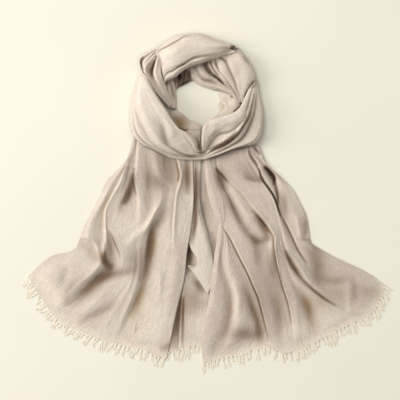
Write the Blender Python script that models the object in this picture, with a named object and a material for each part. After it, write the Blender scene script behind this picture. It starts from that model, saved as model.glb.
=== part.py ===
"""Beach scarf laid flat on a table: wound once round an open neck loop, both tails fanned out below it.

Every stretch of cloth that shows is one object. A stretch is lofted across a table of its folds: each row
names a fold and gives the points that its line runs through, in millimetres, as (x, y, height of the cloth).
A wall hangs under that surface, and each stretch lies on those made before it. The layers that nothing
shows share one rounded ring, the core of the wrap.
"""

from collections import namedtuple

import bmesh
import bpy
import numpy as np
from mathutils import Vector
from mathutils.bvhtree import BVHTree

MM = 0.001
NAME = "beach_scarf"

# Driving dimensions, in millimetres
WALL = 2.0  # thickness of one stretch of cloth with the plies gathered in it
SEAM_GAP = 0.6  # between a stretch and what it lies on
FRINGE_GAP = 0.3  # between a hem and its fringe
FRINGE_LENGTH = 14.0
LIFT_ROUNDS = 6  # passes over the points that a stretch lies on
HIGH = 500.0  # above everything
STEEPEST = 0.4  # least upright share of a normal that the wall is thickened for
LAYOUT_MIDDLE = (13.0, -3.0)  # middle of the whole layout, in the frame of the tables
NECK = (-13.0, 193.0)  # middle of the neck opening, in the object's own frame
PRESSED = 9.9  # greatest height of the tails where the wrap lies on them
PRESS_SLOPE = 0.8  # how fast the tails may rise again, away from the wrap

# How a fold meets its neighbours: rounded over, or creased
SOFT, CREASED = 0.0, 0.9

Fold = namedtuple("Fold", "name crease points")
Stretch = namedtuple("Stretch", "name folds stations columns colour")


def fold(name, crease, *points):
    return Fold(name, crease, np.array(points, float))


# Left tail, from its outer edge to the edge beside the middle layers; each fold runs from wrap to hem
LEFT_TAIL = (
    fold("outer edge", SOFT, (-133, 128, 6), (-145, 98, 3), (-164, 60, 2), (-201, 0, 2), (-238, -70, 3),
         (-251, -98, 3), (-300, -113, 2), (-344, -151, 2)),
    fold("outer swell", SOFT, (-131, 128, 7), (-142, 98, 8), (-172, 40, 9), (-204, -22, 11), (-222, -70, 13),
         (-225, -104, 5), (-262, -128, 10), (-298, -150, 9), (-329, -180, 3)),
    fold("outer gutter", SOFT, (-130, 128, 6), (-139, 98, 6), (-167, 36, 4), (-193, -22, 4), (-198, -66, 5),
         (-207, -110, 9), (-230, -144, 12), (-266, -176, 9), (-311, -205, 3)),
    fold("outer lap", CREASED, (-129, 127, 8), (-136, 98, 9), (-149, 68, 11), (-165, 28, 13), (-187, -14, 15),
         (-188, -60, 16), (-194, -106, 16), (-214, -145, 16), (-252, -186, 11), (-297, -225, 3)),
    fold("shadow trough", SOFT, (-128, 126, 7), (-133, 98, 7), (-144, 66, 7), (-158, 26, 9), (-178, -18, 11),
         (-181, -66, 9), (-176, -106, 3), (-198, -150, 2), (-242, -194, 2), (-284, -240, 2)),
    fold("middle swell", CREASED, (-127, 125, 7), (-131, 98, 6), (-140, 58, 4), (-148, 20, 8), (-158, -30, 14),
         (-166, -82, 14), (-157, -116, 13), (-176, -160, 9), (-216, -212, 8), (-258, -256, 3)),
    fold("front gutter", SOFT, (-126, 124, 5), (-129, 98, 4), (-135, 52, 2), (-129, 14, 5), (-128, -36, 13),
         (-140, -84, 12), (-142, -128, 9), (-158, -184, 6), (-196, -238, 4), (-230, -268, 2)),
    fold("front lap", CREASED, (-123, 124, 9), (-126, 98, 13), (-127, 66, 16), (-132, 40, 16), (-124, 10, 15),
         (-115, -32, 15), (-132, -76, 14), (-134, -120, 10), (-142, -164, 9), (-168, -216, 8), (-204, -278, 3)),
    fold("panel dip", SOFT, (-106, 116, 7), (-106, 70, 9), (-104, 20, 10), (-98, -20, 12), (-112, -50, 13),
         (-124, -90, 10), (-127, -140, 9), (-146, -196, 8), (-186, -284, 3)),
    fold("diagonal lap", CREASED, (-90, 110, 8), (-87, 68, 9), (-70, 34, 11), (-78, -2, 14), (-97, -36, 16),
         (-115, -57, 15), (-120, -92, 12), (-121, -134, 11), (-130, -175, 10), (-152, -226, 8), (-175, -286, 3)),
    fold("deep valley", SOFT, (-72, 104, 6), (-60, 62, 3), (-56, 22, 7), (-70, -24, 4), (-92, -62, 2),
         (-108, -100, 2), (-110, -136, 2), (-119, -180, 2), (-143, -234, 2), (-166, -288, 2)),
    fold("valley rim", SOFT, (-58, 100, 6), (-47, 60, 5), (-50, 14, 8), (-60, -32, 8), (-76, -68, 6),
         (-93, -104, 6), (-89, -140, 7), (-98, -190, 6), (-122, -246, 5), (-142, -294, 2)),
    fold("band lap", CREASED, (-49, 96, 9), (-41, 62, 15), (-40, 36, 15), (-46, 6, 14), (-50, -40, 12),
         (-56, -82, 10), (-68, -140, 8), (-84, -210, 8), (-106, -302, 3)),
    fold("band", SOFT, (-28, 93, 8), (-27, 50, 12), (-30, 0, 12), (-36, -60, 12), (-46, -130, 12),
         (-60, -200, 11), (-86, -314, 5)),
    fold("inner edge", SOFT, (-14, 91, 9), (-14, 50, 10), (-13, -2, 10), (-17, -50, 10), (-26, -106, 10),
         (-31, -155, 9), (-46, -220, 8), (-66, -317, 6)),
)

# Right tail, from the edge beside the middle layers to its outer edge
RIGHT_TAIL = (
    fold("inner edge", SOFT, (6, 91, 9), (10, 46, 10), (17, 4, 10), (38, -47, 11), (32, -80, 10),
         (26, -130, 9), (19, -190, 8), (6, -244, 7), (5, -326, 6)),
    fold("inner swell", SOFT, (12, 91, 9), (20, 46, 12), (32, 0, 13), (44, -48, 13), (42, -90, 12),
         (34, -146, 12), (34, -200, 12), (24, -250, 10), (15, -324, 5)),
    fold("winding trough", SOFT, (16, 91, 8), (25, 46, 12), (38, 0, 13), (46, -50, 12), (46, -100, 9),
         (48, -156, 5), (61, -206, 3), (58, -246, 3), (40, -278, 3), (28, -322, 2)),
    fold("winding ridge", SOFT, (19, 91, 8), (28, 47, 12), (42, 2, 13), (48, -52, 12), (54, -104, 10),
         (60, -154, 11), (76, -208, 12), (73, -252, 11), (56, -284, 8), (44, -317, 2)),
    fold("side trough", SOFT, (22, 91, 8), (31, 48, 11), (45, 4, 13), (48, -46, 12), (62, -92, 7),
         (84, -142, 5), (102, -194, 4), (106, -244, 3), (92, -306, 2)),
    fold("side lap foot", CREASED, (24, 91, 8), (33, 49, 10), (47, 6, 12), (46, -40, 12), (67, -97, 7),
         (95, -157, 6), (118, -212, 5), (129, -258, 3), (126, -292, 2)),
    fold("side lap", CREASED, (26, 91, 8), (34, 50, 9), (49, 8, 11), (50, -44, 13), (70, -96, 12),
         (98, -155, 11), (121, -210, 10), (134, -256, 7), (141, -296, 3)),
    fold("side panel", SOFT, (27, 91, 8), (35, 52, 6), (52, 10, 9), (74, -50, 13), (98, -100, 12),
         (120, -156, 12), (138, -206, 10), (153, -302, 4)),
    fold("upper trough", SOFT, (28, 91, 7), (37, 54, 2), (50, 24, 2), (74, -24, 3), (100, -64, 3),
         (120, -88, 6), (130, -124, 8), (144, -166, 7), (156, -214, 6), (168, -308, 2)),
    fold("upper ridge", SOFT, (30, 92, 7), (40, 56, 5), (62, 26, 9), (86, -14, 10), (111, -56, 9),
         (132, -88, 7), (140, -124, 8), (152, -166, 8), (168, -216, 8), (180, -306, 3)),
    fold("upper lap foot", CREASED, (31, 93, 8), (36, 62, 8), (60, 32, 9), (90, 5, 10), (116, -31, 6),
         (143, -72, 3), (146, -105, 5), (154, -150, 5), (171, -199, 5), (181, -246, 5), (190, -304, 2)),
    fold("upper lap", CREASED, (33, 94, 9), (38, 62, 12), (62, 34, 13), (91, 8, 14), (119, -27, 14),
         (148, -68, 14), (150, -104, 12), (158, -149, 11), (175, -197, 10), (185, -244, 9), (196, -301, 3)),
    fold("upper panel", SOFT, (66, 100, 9), (72, 66, 10), (98, 22, 11), (130, -28, 12), (154, -72, 13),
         (159, -112, 10), (174, -162, 9), (194, -212, 8), (202, -255, 7), (208, -298, 3)),
    fold("soft trough", SOFT, (82, 102, 8), (92, 64, 8), (108, 32, 7), (138, -20, 10), (159, -76, 10),
         (164, -120, 7), (186, -174, 4), (212, -222, 3), (226, -256, 3), (240, -280, 2)),
    fold("long ridge", SOFT, (87, 103, 8), (100, 64, 8), (116, 37, 5), (145, -16, 10), (161, -80, 9),
         (169, -124, 9), (192, -161, 12), (224, -188, 13), (258, -211, 10), (306, -246, 3)),
    fold("red trough", CREASED, (90, 104, 8), (106, 64, 7), (121, 40, 4), (148, -14, 10), (163, -84, 6),
         (168, -108, 3), (188, -139, 2), (214, -168, 2), (250, -197, 4), (292, -214, 6), (334, -236, 3)),
    fold("strip", SOFT, (94, 105, 9), (110, 66, 9), (128, 34, 9), (152, -14, 13), (168, -76, 12),
         (178, -102, 12), (197, -134, 12), (222, -164, 9), (256, -189, 8), (300, -204, 8), (346, -224, 3)),
    fold("twist groove", CREASED, (97, 106, 6), (112, 77, 3), (124, 46, 2), (140, 20, 2), (158, -16, 4),
         (183, -72, 5), (206, -117, 5), (228, -156, 5), (260, -179, 6), (306, -191, 7), (354, -213, 3)),
    fold("twisted strip", SOFT, (101, 107, 9), (117, 78, 11), (129, 53, 11), (145, 25, 10), (160, -12, 8),
         (187, -66, 9), (212, -108, 7), (236, -144, 5), (268, -164, 6), (312, -180, 9), (358, -204, 3)),
    fold("side hollow", SOFT, (106, 108, 5), (130, 68, 3), (148, 46, 2), (155, 20, 2), (166, -12, 7),
         (192, -62, 10), (216, -98, 7), (242, -132, 5), (276, -150, 8), (316, -167, 8), (362, -196, 3)),
    fold("outer swell", SOFT, (111, 109, 7), (136, 68, 9), (162, 36, 10), (182, 2, 10), (204, -56, 11),
         (220, -94, 9), (254, -120, 8), (308, -148, 8), (367, -184, 3)),
    fold("outer edge", SOFT, (117, 110, 5), (133, 72, 3), (152, 52, 2), (185, 20, 2), (208, -20, 2),
         (219, -64, 2), (223, -85, 2), (262, -110, 2), (318, -137, 2), (370, -171, 2)),
)

# Two layers that show between the tails; each fold runs from wrap to hem
MIDDLE_UPPER = (
    fold("left edge", SOFT, (-22, 90, 5), (-24, 40, 5), (-23, -20, 5), (-26, -76, 5), (-9, -117, 5),
         (-27, -131, 5)),
    fold("bright fold", CREASED, (-10, 90, 7), (-9, 30, 7), (-6, -20, 8), (-2, -70, 7), (0, -120, 7),
         (-12, -149, 5)),
    fold("face", SOFT, (-4, 90, 6), (-3, 30, 6), (2, -20, 6), (9, -70, 7), (12, -120, 6), (2, -168, 5)),
    fold("right edge", CREASED, (2, 90, 6), (1, 30, 6), (4, -22, 6), (17, -64, 6), (26, -112, 5), (16, -190, 5)),
)
MIDDLE_LOWER = (
    fold("left edge", SOFT, (-34, 90, 2), (-34, 0, 2), (-42, -110, 2), (-64, -220, 2), (-76, -305, 2)),
    fold("left pleat", SOFT, (-24, 90, 2), (-24, 0, 2), (-34, -130, 2), (-47, -220, 5), (-52, -304, 4)),
    fold("left crease", CREASED, (-18, 90, 2), (-18, 0, 2), (-30, -130, 2), (-43, -220, 2), (-46, -303, 2)),
    fold("second pleat", SOFT, (-12, 90, 2), (-12, 0, 2), (-24, -130, 2), (-37, -220, 4), (-40, -302, 4)),
    fold("second crease", CREASED, (-6, 90, 2), (-6, 0, 2), (-18, -130, 2), (-32, -220, 2), (-34, -300, 2)),
    fold("middle swell", SOFT, (10, 90, 2), (12, 0, 2), (2, -130, 2), (-10, -220, 4), (-14, -292, 4)),
    fold("right edge", SOFT, (30, 90, 2), (46, 0, 2), (42, -130, 2), (28, -220, 2), (18, -296, 2)),
)

# Front of the wrap, from its outer foot to the edge of the neck opening; each fold runs anticlockwise
FRONT_WRAP = (
    fold("outer foot", SOFT, (-120, 258, 3), (-136, 207, 3), (-140, 165, 3), (-126, 119, 12), (-83, 92, 12),
         (-22, 80, 12), (40, 89, 12), (96, 107, 12), (124, 140, 6), (127, 180, 3), (115, 240, 3)),
    fold("first band", SOFT, (-117, 257, 13), (-131, 205, 20), (-134, 164, 22), (-120, 124, 22),
         (-82, 95, 20), (-21, 82, 18), (39, 92, 18), (92, 111, 21), (118, 143, 19), (121, 180, 15), (114, 239, 8)),
    fold("first crease", CREASED, (-116, 256, 14), (-128, 204, 23), (-131, 161, 23), (-115, 125, 20),
         (-80, 98, 19), (-21, 84, 16), (38, 95, 17), (88, 114, 20), (113, 146, 18), (118, 182, 15), (113, 239, 8)),
    fold("second band", SOFT, (-115, 256, 17), (-124, 203, 31), (-128, 159, 31), (-110, 127, 29),
         (-79, 101, 25), (-21, 86, 21), (37, 98, 22), (84, 117, 27), (108, 149, 26), (115, 186, 20), (113, 238, 9)),
    fold("second crease", CREASED, (-114, 255, 18), (-120, 202, 34), (-125, 157, 33), (-104, 126, 27),
         (-77, 103, 23), (-21, 88, 18), (36, 101, 19), (79, 120, 25), (101, 151, 25), (112, 189, 20),
         (112, 238, 9)),
    fold("great swell", SOFT, (-113, 254, 20), (-108, 204, 44), (-106, 160, 50), (-88, 138, 48), (-70, 116, 42),
         (-21, 90, 23), (34, 103, 26), (73, 122, 33), (96, 153, 33), (109, 190, 26), (111, 238, 10)),
    fold("soft trough", SOFT, (-112, 253, 20), (-98, 204, 43), (-84, 164, 47), (-72, 140, 42), (-61, 108, 35),
         (-20, 92, 21), (32, 105, 23), (66, 125, 28), (91, 155, 29), (106, 191, 24), (110, 237, 10)),
    fold("inner swell", SOFT, (-111, 252, 21), (-92, 204, 48), (-71, 170, 52), (-57, 140, 48), (-41, 118, 42),
         (-21, 103, 34), (4, 91, 20), (29, 112, 33), (61, 131, 38), (85, 159, 37), (102, 192, 29), (110, 236, 10)),
    fold("roll crease", CREASED, (-110, 252, 20), (-90, 206, 45), (-68, 174, 46), (-45, 141, 41),
         (-32, 130, 35), (-17, 107, 28), (4, 93, 15), (22, 119, 28), (55, 138, 33), (80, 159, 33),
         (97, 190, 26), (109, 235, 10)),
    fold("lip", SOFT, (-109, 252, 21), (-88, 208, 46), (-65, 176, 48), (-41, 141, 42), (-26, 133, 38),
         (-11, 112, 33), (4, 95, 16), (13, 138, 38), (47, 153, 42), (76, 168, 41), (91, 194, 33), (108, 234, 10)),
    fold("neck edge", CREASED, (-108, 252, 18), (-85, 208, 37), (-62, 174, 37), (-38, 138, 31), (-22, 134, 27),
         (-7, 114, 23), (3, 97, 12), (5, 147, 24), (41, 163, 28), (72, 177, 28), (87, 196, 24), (108, 231, 9)),
)

# Band over the nape, from its outer foot to the edge of the neck opening; each fold runs left to right
NAPE_BAND = (
    fold("outer foot", SOFT, (-87, 301, 3), (-60, 325, 3), (-16, 334, 3), (30, 323, 3), (62, 311, 3),
         (77, 304, 3)),
    fold("shoulder", SOFT, (-86, 297, 20), (-60, 317, 22), (-18, 329, 22), (28, 319, 20), (58, 309, 15),
         (73, 305, 8)),
    fold("upper crease", CREASED, (-85, 293, 21), (-60, 309, 21), (-22, 325, 21), (26, 315, 21), (56, 307, 16),
         (72, 304, 9)),
    fold("crest", SOFT, (-84, 286, 28), (-62, 292, 38), (-24, 303, 42), (20, 306, 38), (54, 305, 24),
         (72, 303, 10)),
    fold("lower swell", SOFT, (-80, 266, 30), (-58, 274, 36), (-20, 284, 35), (17, 294, 32), (53, 302, 20),
         (72, 302, 10)),
    fold("first lip", CREASED, (-77, 250, 28), (-55, 261, 30), (-20, 274, 30), (18, 288, 28), (54, 300, 19),
         (73, 301, 10)),
    fold("lip crease", SOFT, (-76, 246, 19), (-54, 257, 21), (-18, 270, 21), (20, 284, 20), (55, 296, 15),
         (74, 300, 9)),
    fold("second lip", CREASED, (-74, 239, 22), (-44, 253, 24), (-2, 273, 24), (36, 284, 22), (60, 291, 16),
         (75, 298, 9)),
    fold("neck edge", SOFT, (-73, 235, 14), (-42, 250, 14), (0, 270, 14), (38, 281, 13), (62, 288, 10),
         (76, 295, 7)),
)

# Folds that turn over the left shoulder and run down inside the wrap, from the outer foot inwards
SHOULDER_FOLDS = (
    fold("outer foot", SOFT, (-76, 312, 3), (-88, 303, 3), (-104, 298, 3), (-119, 288, 3), (-120, 265, 3),
         (-111, 244, 3), (-90, 210, 3), (-64, 183, 3)),
    fold("shoulder ridge", SOFT, (-74, 306, 14), (-90, 297, 20), (-105, 286, 22), (-112, 272, 20),
         (-113, 259, 16), (-104, 240, 16), (-85, 212, 16), (-61, 184, 10)),
    fold("shoulder crease", CREASED, (-73, 304, 13), (-88, 292, 16), (-101, 280, 14), (-107, 268, 14),
         (-108, 257, 14), (-99, 239, 16), (-82, 213, 16), (-60, 184, 10)),
    fold("first strip", SOFT, (-72, 302, 15), (-85, 289, 19), (-97, 277, 19), (-103, 266, 20), (-104, 255, 22),
         (-94, 236, 23), (-77, 211, 21), (-58, 184, 13)),
    fold("dark gap", SOFT, (-71, 300, 12), (-81, 287, 12), (-93, 275, 6), (-96, 262, 4), (-95, 244, 8),
         (-86, 228, 16), (-72, 208, 14), (-56, 183, 10)),
    fold("second strip", SOFT, (-70, 298, 17), (-78, 287, 21), (-88, 274, 23), (-87, 256, 23), (-77, 233, 21),
         (-64, 207, 19), (-53, 183, 12)),
    fold("strip crease", CREASED, (-69, 294, 13), (-75, 280, 14), (-80, 264, 12), (-77, 244, 10),
         (-69, 226, 10), (-59, 205, 10), (-51, 183, 8)),
    fold("third strip", SOFT, (-67, 290, 14), (-71, 275, 15), (-72, 258, 15), (-65, 238, 14), (-58, 220, 14),
         (-53, 203, 14), (-49, 184, 8)),
    fold("neck edge", SOFT, (-62, 286, 6), (-61, 270, 4), (-57, 252, 3), (-49, 232, 2), (-47, 216, 2),
         (-46, 200, 2), (-47, 182, 2)),
)

# Gathered stretch at the right of the neck opening, from the opening outwards; each fold runs down to the tip
RIGHT_GATHER = (
    fold("neck edge", SOFT, (-20, 268, 3), (-15, 244, 2), (0, 229, 2), (24, 219, 2), (46, 217, 2), (66, 205, 3),
         (80, 190, 7)),
    fold("first ridge", SOFT, (-13, 272, 8), (-3, 252, 9), (14, 239, 10), (38, 229, 11), (57, 221, 11),
         (71, 206, 10), (82, 189, 9)),
    fold("first trough", SOFT, (-7, 275, 6), (4, 257, 5), (20, 243, 5), (42, 232, 7), (59, 222, 8),
         (72, 206, 8), (82, 189, 9)),
    fold("second ridge", SOFT, (0, 278, 12), (8, 264, 13), (23, 249, 12), (44, 236, 12), (61, 223, 12),
         (74, 205, 11), (83, 188, 9)),
    fold("dark trough", CREASED, (10, 282, 4), (15, 264, 3), (29, 248, 3), (47, 234, 4), (64, 219, 7),
         (76, 202, 8), (83, 188, 9)),
    fold("third ridge", SOFT, (19, 285, 15), (25, 267, 18), (37, 250, 20), (52, 235, 20), (67, 218, 18),
         (77, 200, 14), (83, 188, 10)),
    fold("pleat crease", CREASED, (25, 287, 10), (31, 268, 13), (43, 250, 15), (57, 234, 15), (70, 216, 14),
         (78, 200, 12), (84, 188, 9)),
    fold("fourth ridge", SOFT, (31, 288, 15), (36, 269, 19), (48, 251, 21), (61, 234, 21), (72, 216, 19),
         (79, 200, 14), (84, 188, 10)),
    fold("dark pocket", SOFT, (40, 289, 5), (44, 272, 13), (54, 252, 16), (65, 235, 16), (74, 215, 14),
         (80, 200, 12), (84, 188, 9)),
    fold("fifth ridge", SOFT, (50, 291, 16), (54, 273, 22), (62, 254, 24), (70, 237, 23), (76, 219, 21),
         (82, 203, 15), (85, 189, 10)),
    fold("panel crease", CREASED, (58, 294, 13), (64, 272, 18), (71, 252, 19), (76, 234, 17), (81, 216, 14),
         (84, 203, 12), (86, 190, 9)),
    fold("panel crest", SOFT, (69, 297, 17), (81, 277, 29), (89, 256, 31), (92, 236, 27), (91, 217, 20),
         (88, 205, 14), (87, 192, 9)),
    fold("shoulder", SOFT, (76, 298, 12), (90, 281, 19), (102, 260, 19), (105, 241, 15), (99, 221, 10),
         (93, 207, 8), (89, 194, 7)),
    fold("outer foot", SOFT, (79, 303, 3), (94, 285, 3), (109, 259, 3), (113, 243, 3), (106, 224, 3),
         (98, 208, 3), (92, 196, 3)),
)

# Sheer single layers inside the neck opening
RIGHT_WING = (
    fold("neck edge", SOFT, (44, 223, 2), (38, 206, 2), (40, 190, 2), (34, 174, 2), (18, 158, 2)),
    fold("swell", SOFT, (56, 222, 3), (56, 204, 5), (60, 188, 3), (52, 172, 5), (34, 154, 3)),
    fold("hidden edge", SOFT, (68, 214, 2), (78, 200, 2), (80, 184, 2), (68, 170, 2), (42, 156, 2)),
)
FRONT_WING = (
    fold("neck edge", SOFT, (-50, 181, 2), (-36, 165, 2), (-18, 156, 2), (-1, 149, 3), (2, 128, 5), (1, 106, 6)),
    fold("swell", SOFT, (-56, 178, 4), (-44, 160, 4), (-27, 146, 5), (-10, 141, 8), (-4, 126, 10), (-2, 106, 9)),
    fold("hidden edge", SOFT, (-64, 172, 3), (-71, 150, 9.5), (-56, 127, 9.8), (-34, 116, 9.8), (-13, 112, 9),
         (-6, 104, 8)),
)
BACK_GATHER = (
    fold("left edge", SOFT, (-47, 223, 2), (-51, 242, 4), (-52, 258, 5)),
    fold("first ridge", SOFT, (-42, 226, 6), (-43, 244, 9), (-43, 261, 8)),
    fold("first crease", CREASED, (-36, 229, 3), (-37, 247, 4), (-36, 264, 4)),
    fold("second ridge", SOFT, (-29, 232, 7), (-29, 251, 10), (-29, 267, 8)),
    fold("second crease", CREASED, (-22, 236, 3), (-23, 254, 4), (-24, 269, 4)),
    fold("right edge", SOFT, (-13, 240, 2), (-18, 255, 4), (-22, 270, 5)),
)

# Ring of hidden layers, section by section round the neck opening
Section = namedtuple("Section", "angle inner outer bottom top")
CORE = (
    Section(0, 98, 114, 0, 12),
    Section(30, 84, 112, 0, 15),
    Section(60, 84, 118, 0, 16),
    Section(90, 94, 130, 0, 24),
    Section(120, 96, 132, 0, 22),
    Section(145, 92, 128, 0, 4),
    Section(160, 96, 122, 0, 6),
    Section(180, 84, 128, 0, 30),
    Section(195, 76, 130, 6, 34),
    Section(210, 74, 132, 10.4, 36),
    Section(235, 78, 116, 10.4, 30),
    Section(255, 86, 108, 10.4, 20),
    Section(273, 97, 106, 10.4, 14),
    Section(290, 62, 101, 10.4, 20),
    Section(310, 56, 106, 10.4, 26),
    Section(330, 72, 118, 9, 26),
    Section(345, 88, 118, 3, 20),
)
CORE_SECTIONS = 48
CORE_ROUNDING = (0.0, 0.0, 0.18, 0.5, 0.82, 1.0, 1.0)  # across the ring, inner side to outer side
CORE_RISE = (0.0, 0.45, 0.86, 1.0, 0.86, 0.45, 0.0)  # height at each of them, as a share of the ring's own

PALE = (0.80, 0.71, 0.61)
ROSE = (0.70, 0.58, 0.49)
SHEER = (0.82, 0.75, 0.62)


def clear_scene():
    for item in list(bpy.data.objects):
        bpy.data.objects.remove(item, do_unlink=True)


def smooth_line(points, count):
    """Points at equal distances along a centripetal Catmull-Rom curve through the given ones."""
    ends = np.vstack([2 * points[0] - points[1], points, 2 * points[-1] - points[-2]])
    knots = np.concatenate([[0], np.cumsum(np.linalg.norm(np.diff(ends, axis=0), axis=1) ** 0.5)])
    dense = []
    for i in range(1, len(ends) - 2):
        t = np.linspace(knots[i], knots[i + 1], 24, endpoint=False)[:, None]
        t0, t1, t2, t3 = knots[i - 1 : i + 3]
        p0, p1, p2, p3 = ends[i - 1 : i + 3]
        a = (t1 - t) / (t1 - t0) * p0 + (t - t0) / (t1 - t0) * p1
        b = (t2 - t) / (t2 - t1) * p1 + (t - t1) / (t2 - t1) * p2
        c = (t3 - t) / (t3 - t2) * p2 + (t - t2) / (t3 - t2) * p3
        d = (t2 - t) / (t2 - t0) * a + (t - t0) / (t2 - t0) * b
        e = (t3 - t) / (t3 - t1) * b + (t - t1) / (t3 - t1) * c
        dense.append((t2 - t) / (t2 - t1) * d + (t - t1) / (t2 - t1) * e)
    dense = np.vstack(dense + [ends[-2][None]])
    run = np.concatenate([[0], np.cumsum(np.linalg.norm(np.diff(dense[:, :2], axis=0), axis=1))])
    wanted = np.linspace(0, run[-1], count)
    return np.column_stack([np.interp(wanted, run, dense[:, axis]) for axis in range(3)])


def loft(folds, stations, columns):
    """Grid of surface points, [station, column], through the folds' lines, rounded or creased at each."""
    lines = [smooth_line(each.points, stations) for each in folds]
    across = []
    for first, last in zip(range(len(folds)), range(1, len(folds))):
        a, b = lines[first], lines[last]
        for share in np.arange(columns) / columns:
            point = a + (b - a) * share
            rise = b[:, 2] - a[:, 2]
            start, end = folds[first].crease * rise, folds[last].crease * rise
            s2, s3 = share**2, share**3
            point[:, 2] = (
                a[:, 2] * (2 * s3 - 3 * s2 + 1) + start * (s3 - 2 * s2 + share)
                + b[:, 2] * (3 * s2 - 2 * s3) + end * (s3 - s2)
            )
            across.append(point)
    across.append(lines[-1])
    return np.stack(across, axis=1) - (*LAYOUT_MIDDLE, 0.0)


def upright(grid):
    """Upright share of the surface's normal at each point of a grid."""
    normal = np.cross(np.gradient(grid, axis=0), np.gradient(grid, axis=1))
    return np.abs(normal[..., 2]) / np.maximum(np.linalg.norm(normal, axis=2), 1e-9)


def underside(grid):
    """The grid moved down by the wall, and flat where it comes to rest on the table."""
    below = grid.copy()
    below[..., 2] -= WALL / np.maximum(upright(grid), STEEPEST)
    below[..., 2] = np.maximum(below[..., 2], 0.0)
    return below


def wrap_reach(angle):
    """Distance from the middle of the neck opening to the wrap's outer foot, at each angle."""
    foot = smooth_line(FRONT_WRAP[0].points, 200)[:, :2] - LAYOUT_MIDDLE - NECK
    around = np.unwrap(np.arctan2(foot[:, 1], foot[:, 0]))
    turned = around[0] + np.mod(angle - around[0], 2 * np.pi)
    return np.interp(turned, around, np.hypot(foot[:, 0], foot[:, 1]))


def pressed(grid):
    """A tail's grid, held down where the wrap lies on it and free to rise away from it."""
    offset = grid[..., :2] - NECK
    beyond = np.hypot(offset[..., 0], offset[..., 1]) - wrap_reach(np.arctan2(offset[..., 1], offset[..., 0]))
    held = grid.copy()
    held[..., 2] = np.minimum(grid[..., 2], PRESSED + PRESS_SLOPE * np.maximum(beyond, 0.0))
    return held


def grid_quads(rows, columns):
    """Corner numbers of each quad of a grid."""
    return [
        (i * columns + j, i * columns + j + 1, (i + 1) * columns + j + 1, (i + 1) * columns + j)
        for i in range(rows - 1)
        for j in range(columns - 1)
    ]


def tree_of(item):
    mesh = item.data
    corners = [vertex.co / MM for vertex in mesh.vertices]
    return BVHTree.FromPolygons(corners, [tuple(face.vertices) for face in mesh.polygons])


def height_at(tree, x, y):
    """Greatest height of a surface at a place, or below the table where there is none."""
    hit = tree.ray_cast(Vector((x, y, HIGH)), Vector((0, 0, -1)))[0]
    return hit.z if hit else -1.0


def lay_over(top, below, resting_on, reach):
    """Lifts a stretch until its underside clears what it lies on, near each of its points and of theirs."""
    trees = [tree_of(item) for item in resting_on]
    around = [(0, 0)] + [(reach * np.cos(turn), reach * np.sin(turn)) for turn in np.arange(8) * np.pi / 4]
    for index in np.ndindex(top.shape[:2]):
        x, y = top[index][:2]
        highest = max([height_at(tree, x + dx, y + dy) for dx, dy in around for tree in trees], default=0.0)
        lift = max(0.0, highest + SEAM_GAP - below[index][2]) if highest > 0 else 0.0
        top[index][2] += lift
        below[index][2] += lift
    quads = grid_quads(*top.shape[:2])
    flat_top, flat_below = top.reshape(-1, 3), below.reshape(-1, 3)
    points = [vertex.co / MM for item in resting_on for vertex in item.data.vertices]
    for _ in range(LIFT_ROUNDS):
        tree = BVHTree.FromPolygons(flat_below.tolist(), quads)
        for point in points:
            hit, _, face, _ = tree.ray_cast(Vector((point.x, point.y, -1.0)), Vector((0, 0, 1)))
            if hit and point.z > 0 and hit.z < point.z + SEAM_GAP:
                corners = list(quads[face])
                lift = point.z + SEAM_GAP - flat_below[corners, 2].min()
                flat_top[corners, 2] += np.minimum(lift, point.z + SEAM_GAP - hit.z)
                flat_below[corners, 2] += np.minimum(lift, point.z + SEAM_GAP - hit.z)


def shell_mesh(name, top, below):
    """Closed mesh between two grids of equal shape."""
    rows, columns = top.shape[:2]
    size = rows * columns
    corners = np.vstack([top.reshape(-1, 3), below.reshape(-1, 3)])
    faces = grid_quads(rows, columns)
    faces += [tuple(size + corner for corner in reversed(quad)) for quad in faces]
    rim = [j for j in range(columns)]
    rim += [i * columns + columns - 1 for i in range(1, rows)]
    rim += [(rows - 1) * columns + j for j in range(columns - 2, -1, -1)]
    rim += [i * columns for i in range(rows - 2, 0, -1)]
    for a, b in zip(rim, rim[1:] + rim[:1]):
        faces.append((b, a, size + a, size + b))
    mesh = bpy.data.meshes.new(name)
    mesh.from_pydata((corners * MM).tolist(), [], faces)
    tidy = bmesh.new()
    tidy.from_mesh(mesh)
    bmesh.ops.triangulate(tidy, faces=tidy.faces, quad_method="FIXED")
    bmesh.ops.recalc_face_normals(tidy, faces=tidy.faces)
    tidy.to_mesh(mesh)
    tidy.free()
    mesh.shade_smooth()
    mesh.set_sharp_from_angle(angle=np.radians(60))
    return mesh


def cloth_material(name, colour):
    material = bpy.data.materials.new(name)
    material.use_nodes = True
    shader = material.node_tree.nodes["Principled BSDF"]
    shader.inputs["Base Color"].default_value = (*colour, 1.0)
    shader.inputs["Roughness"].default_value = 0.9
    shader.inputs["Metallic"].default_value = 0.0
    return material


def add_piece(collection, mesh, colour):
    item = bpy.data.objects.new(mesh.name, mesh)
    mesh.materials.append(cloth_material(f"{mesh.name}_cloth", colour))
    collection.objects.link(item)
    return item


def add_stretch(collection, stretch, resting_on, shaped=lambda grid: grid, reach=3.0):
    """One stretch of cloth, lofted from its folds and laid on the pieces named; gives its surface points."""
    top = shaped(loft(stretch.folds, stretch.stations, stretch.columns))
    below = underside(top)
    lay_over(top, below, [bpy.data.objects[name] for name in resting_on], reach)
    add_piece(collection, shell_mesh(stretch.name, top, below), stretch.colour)
    return top


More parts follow.
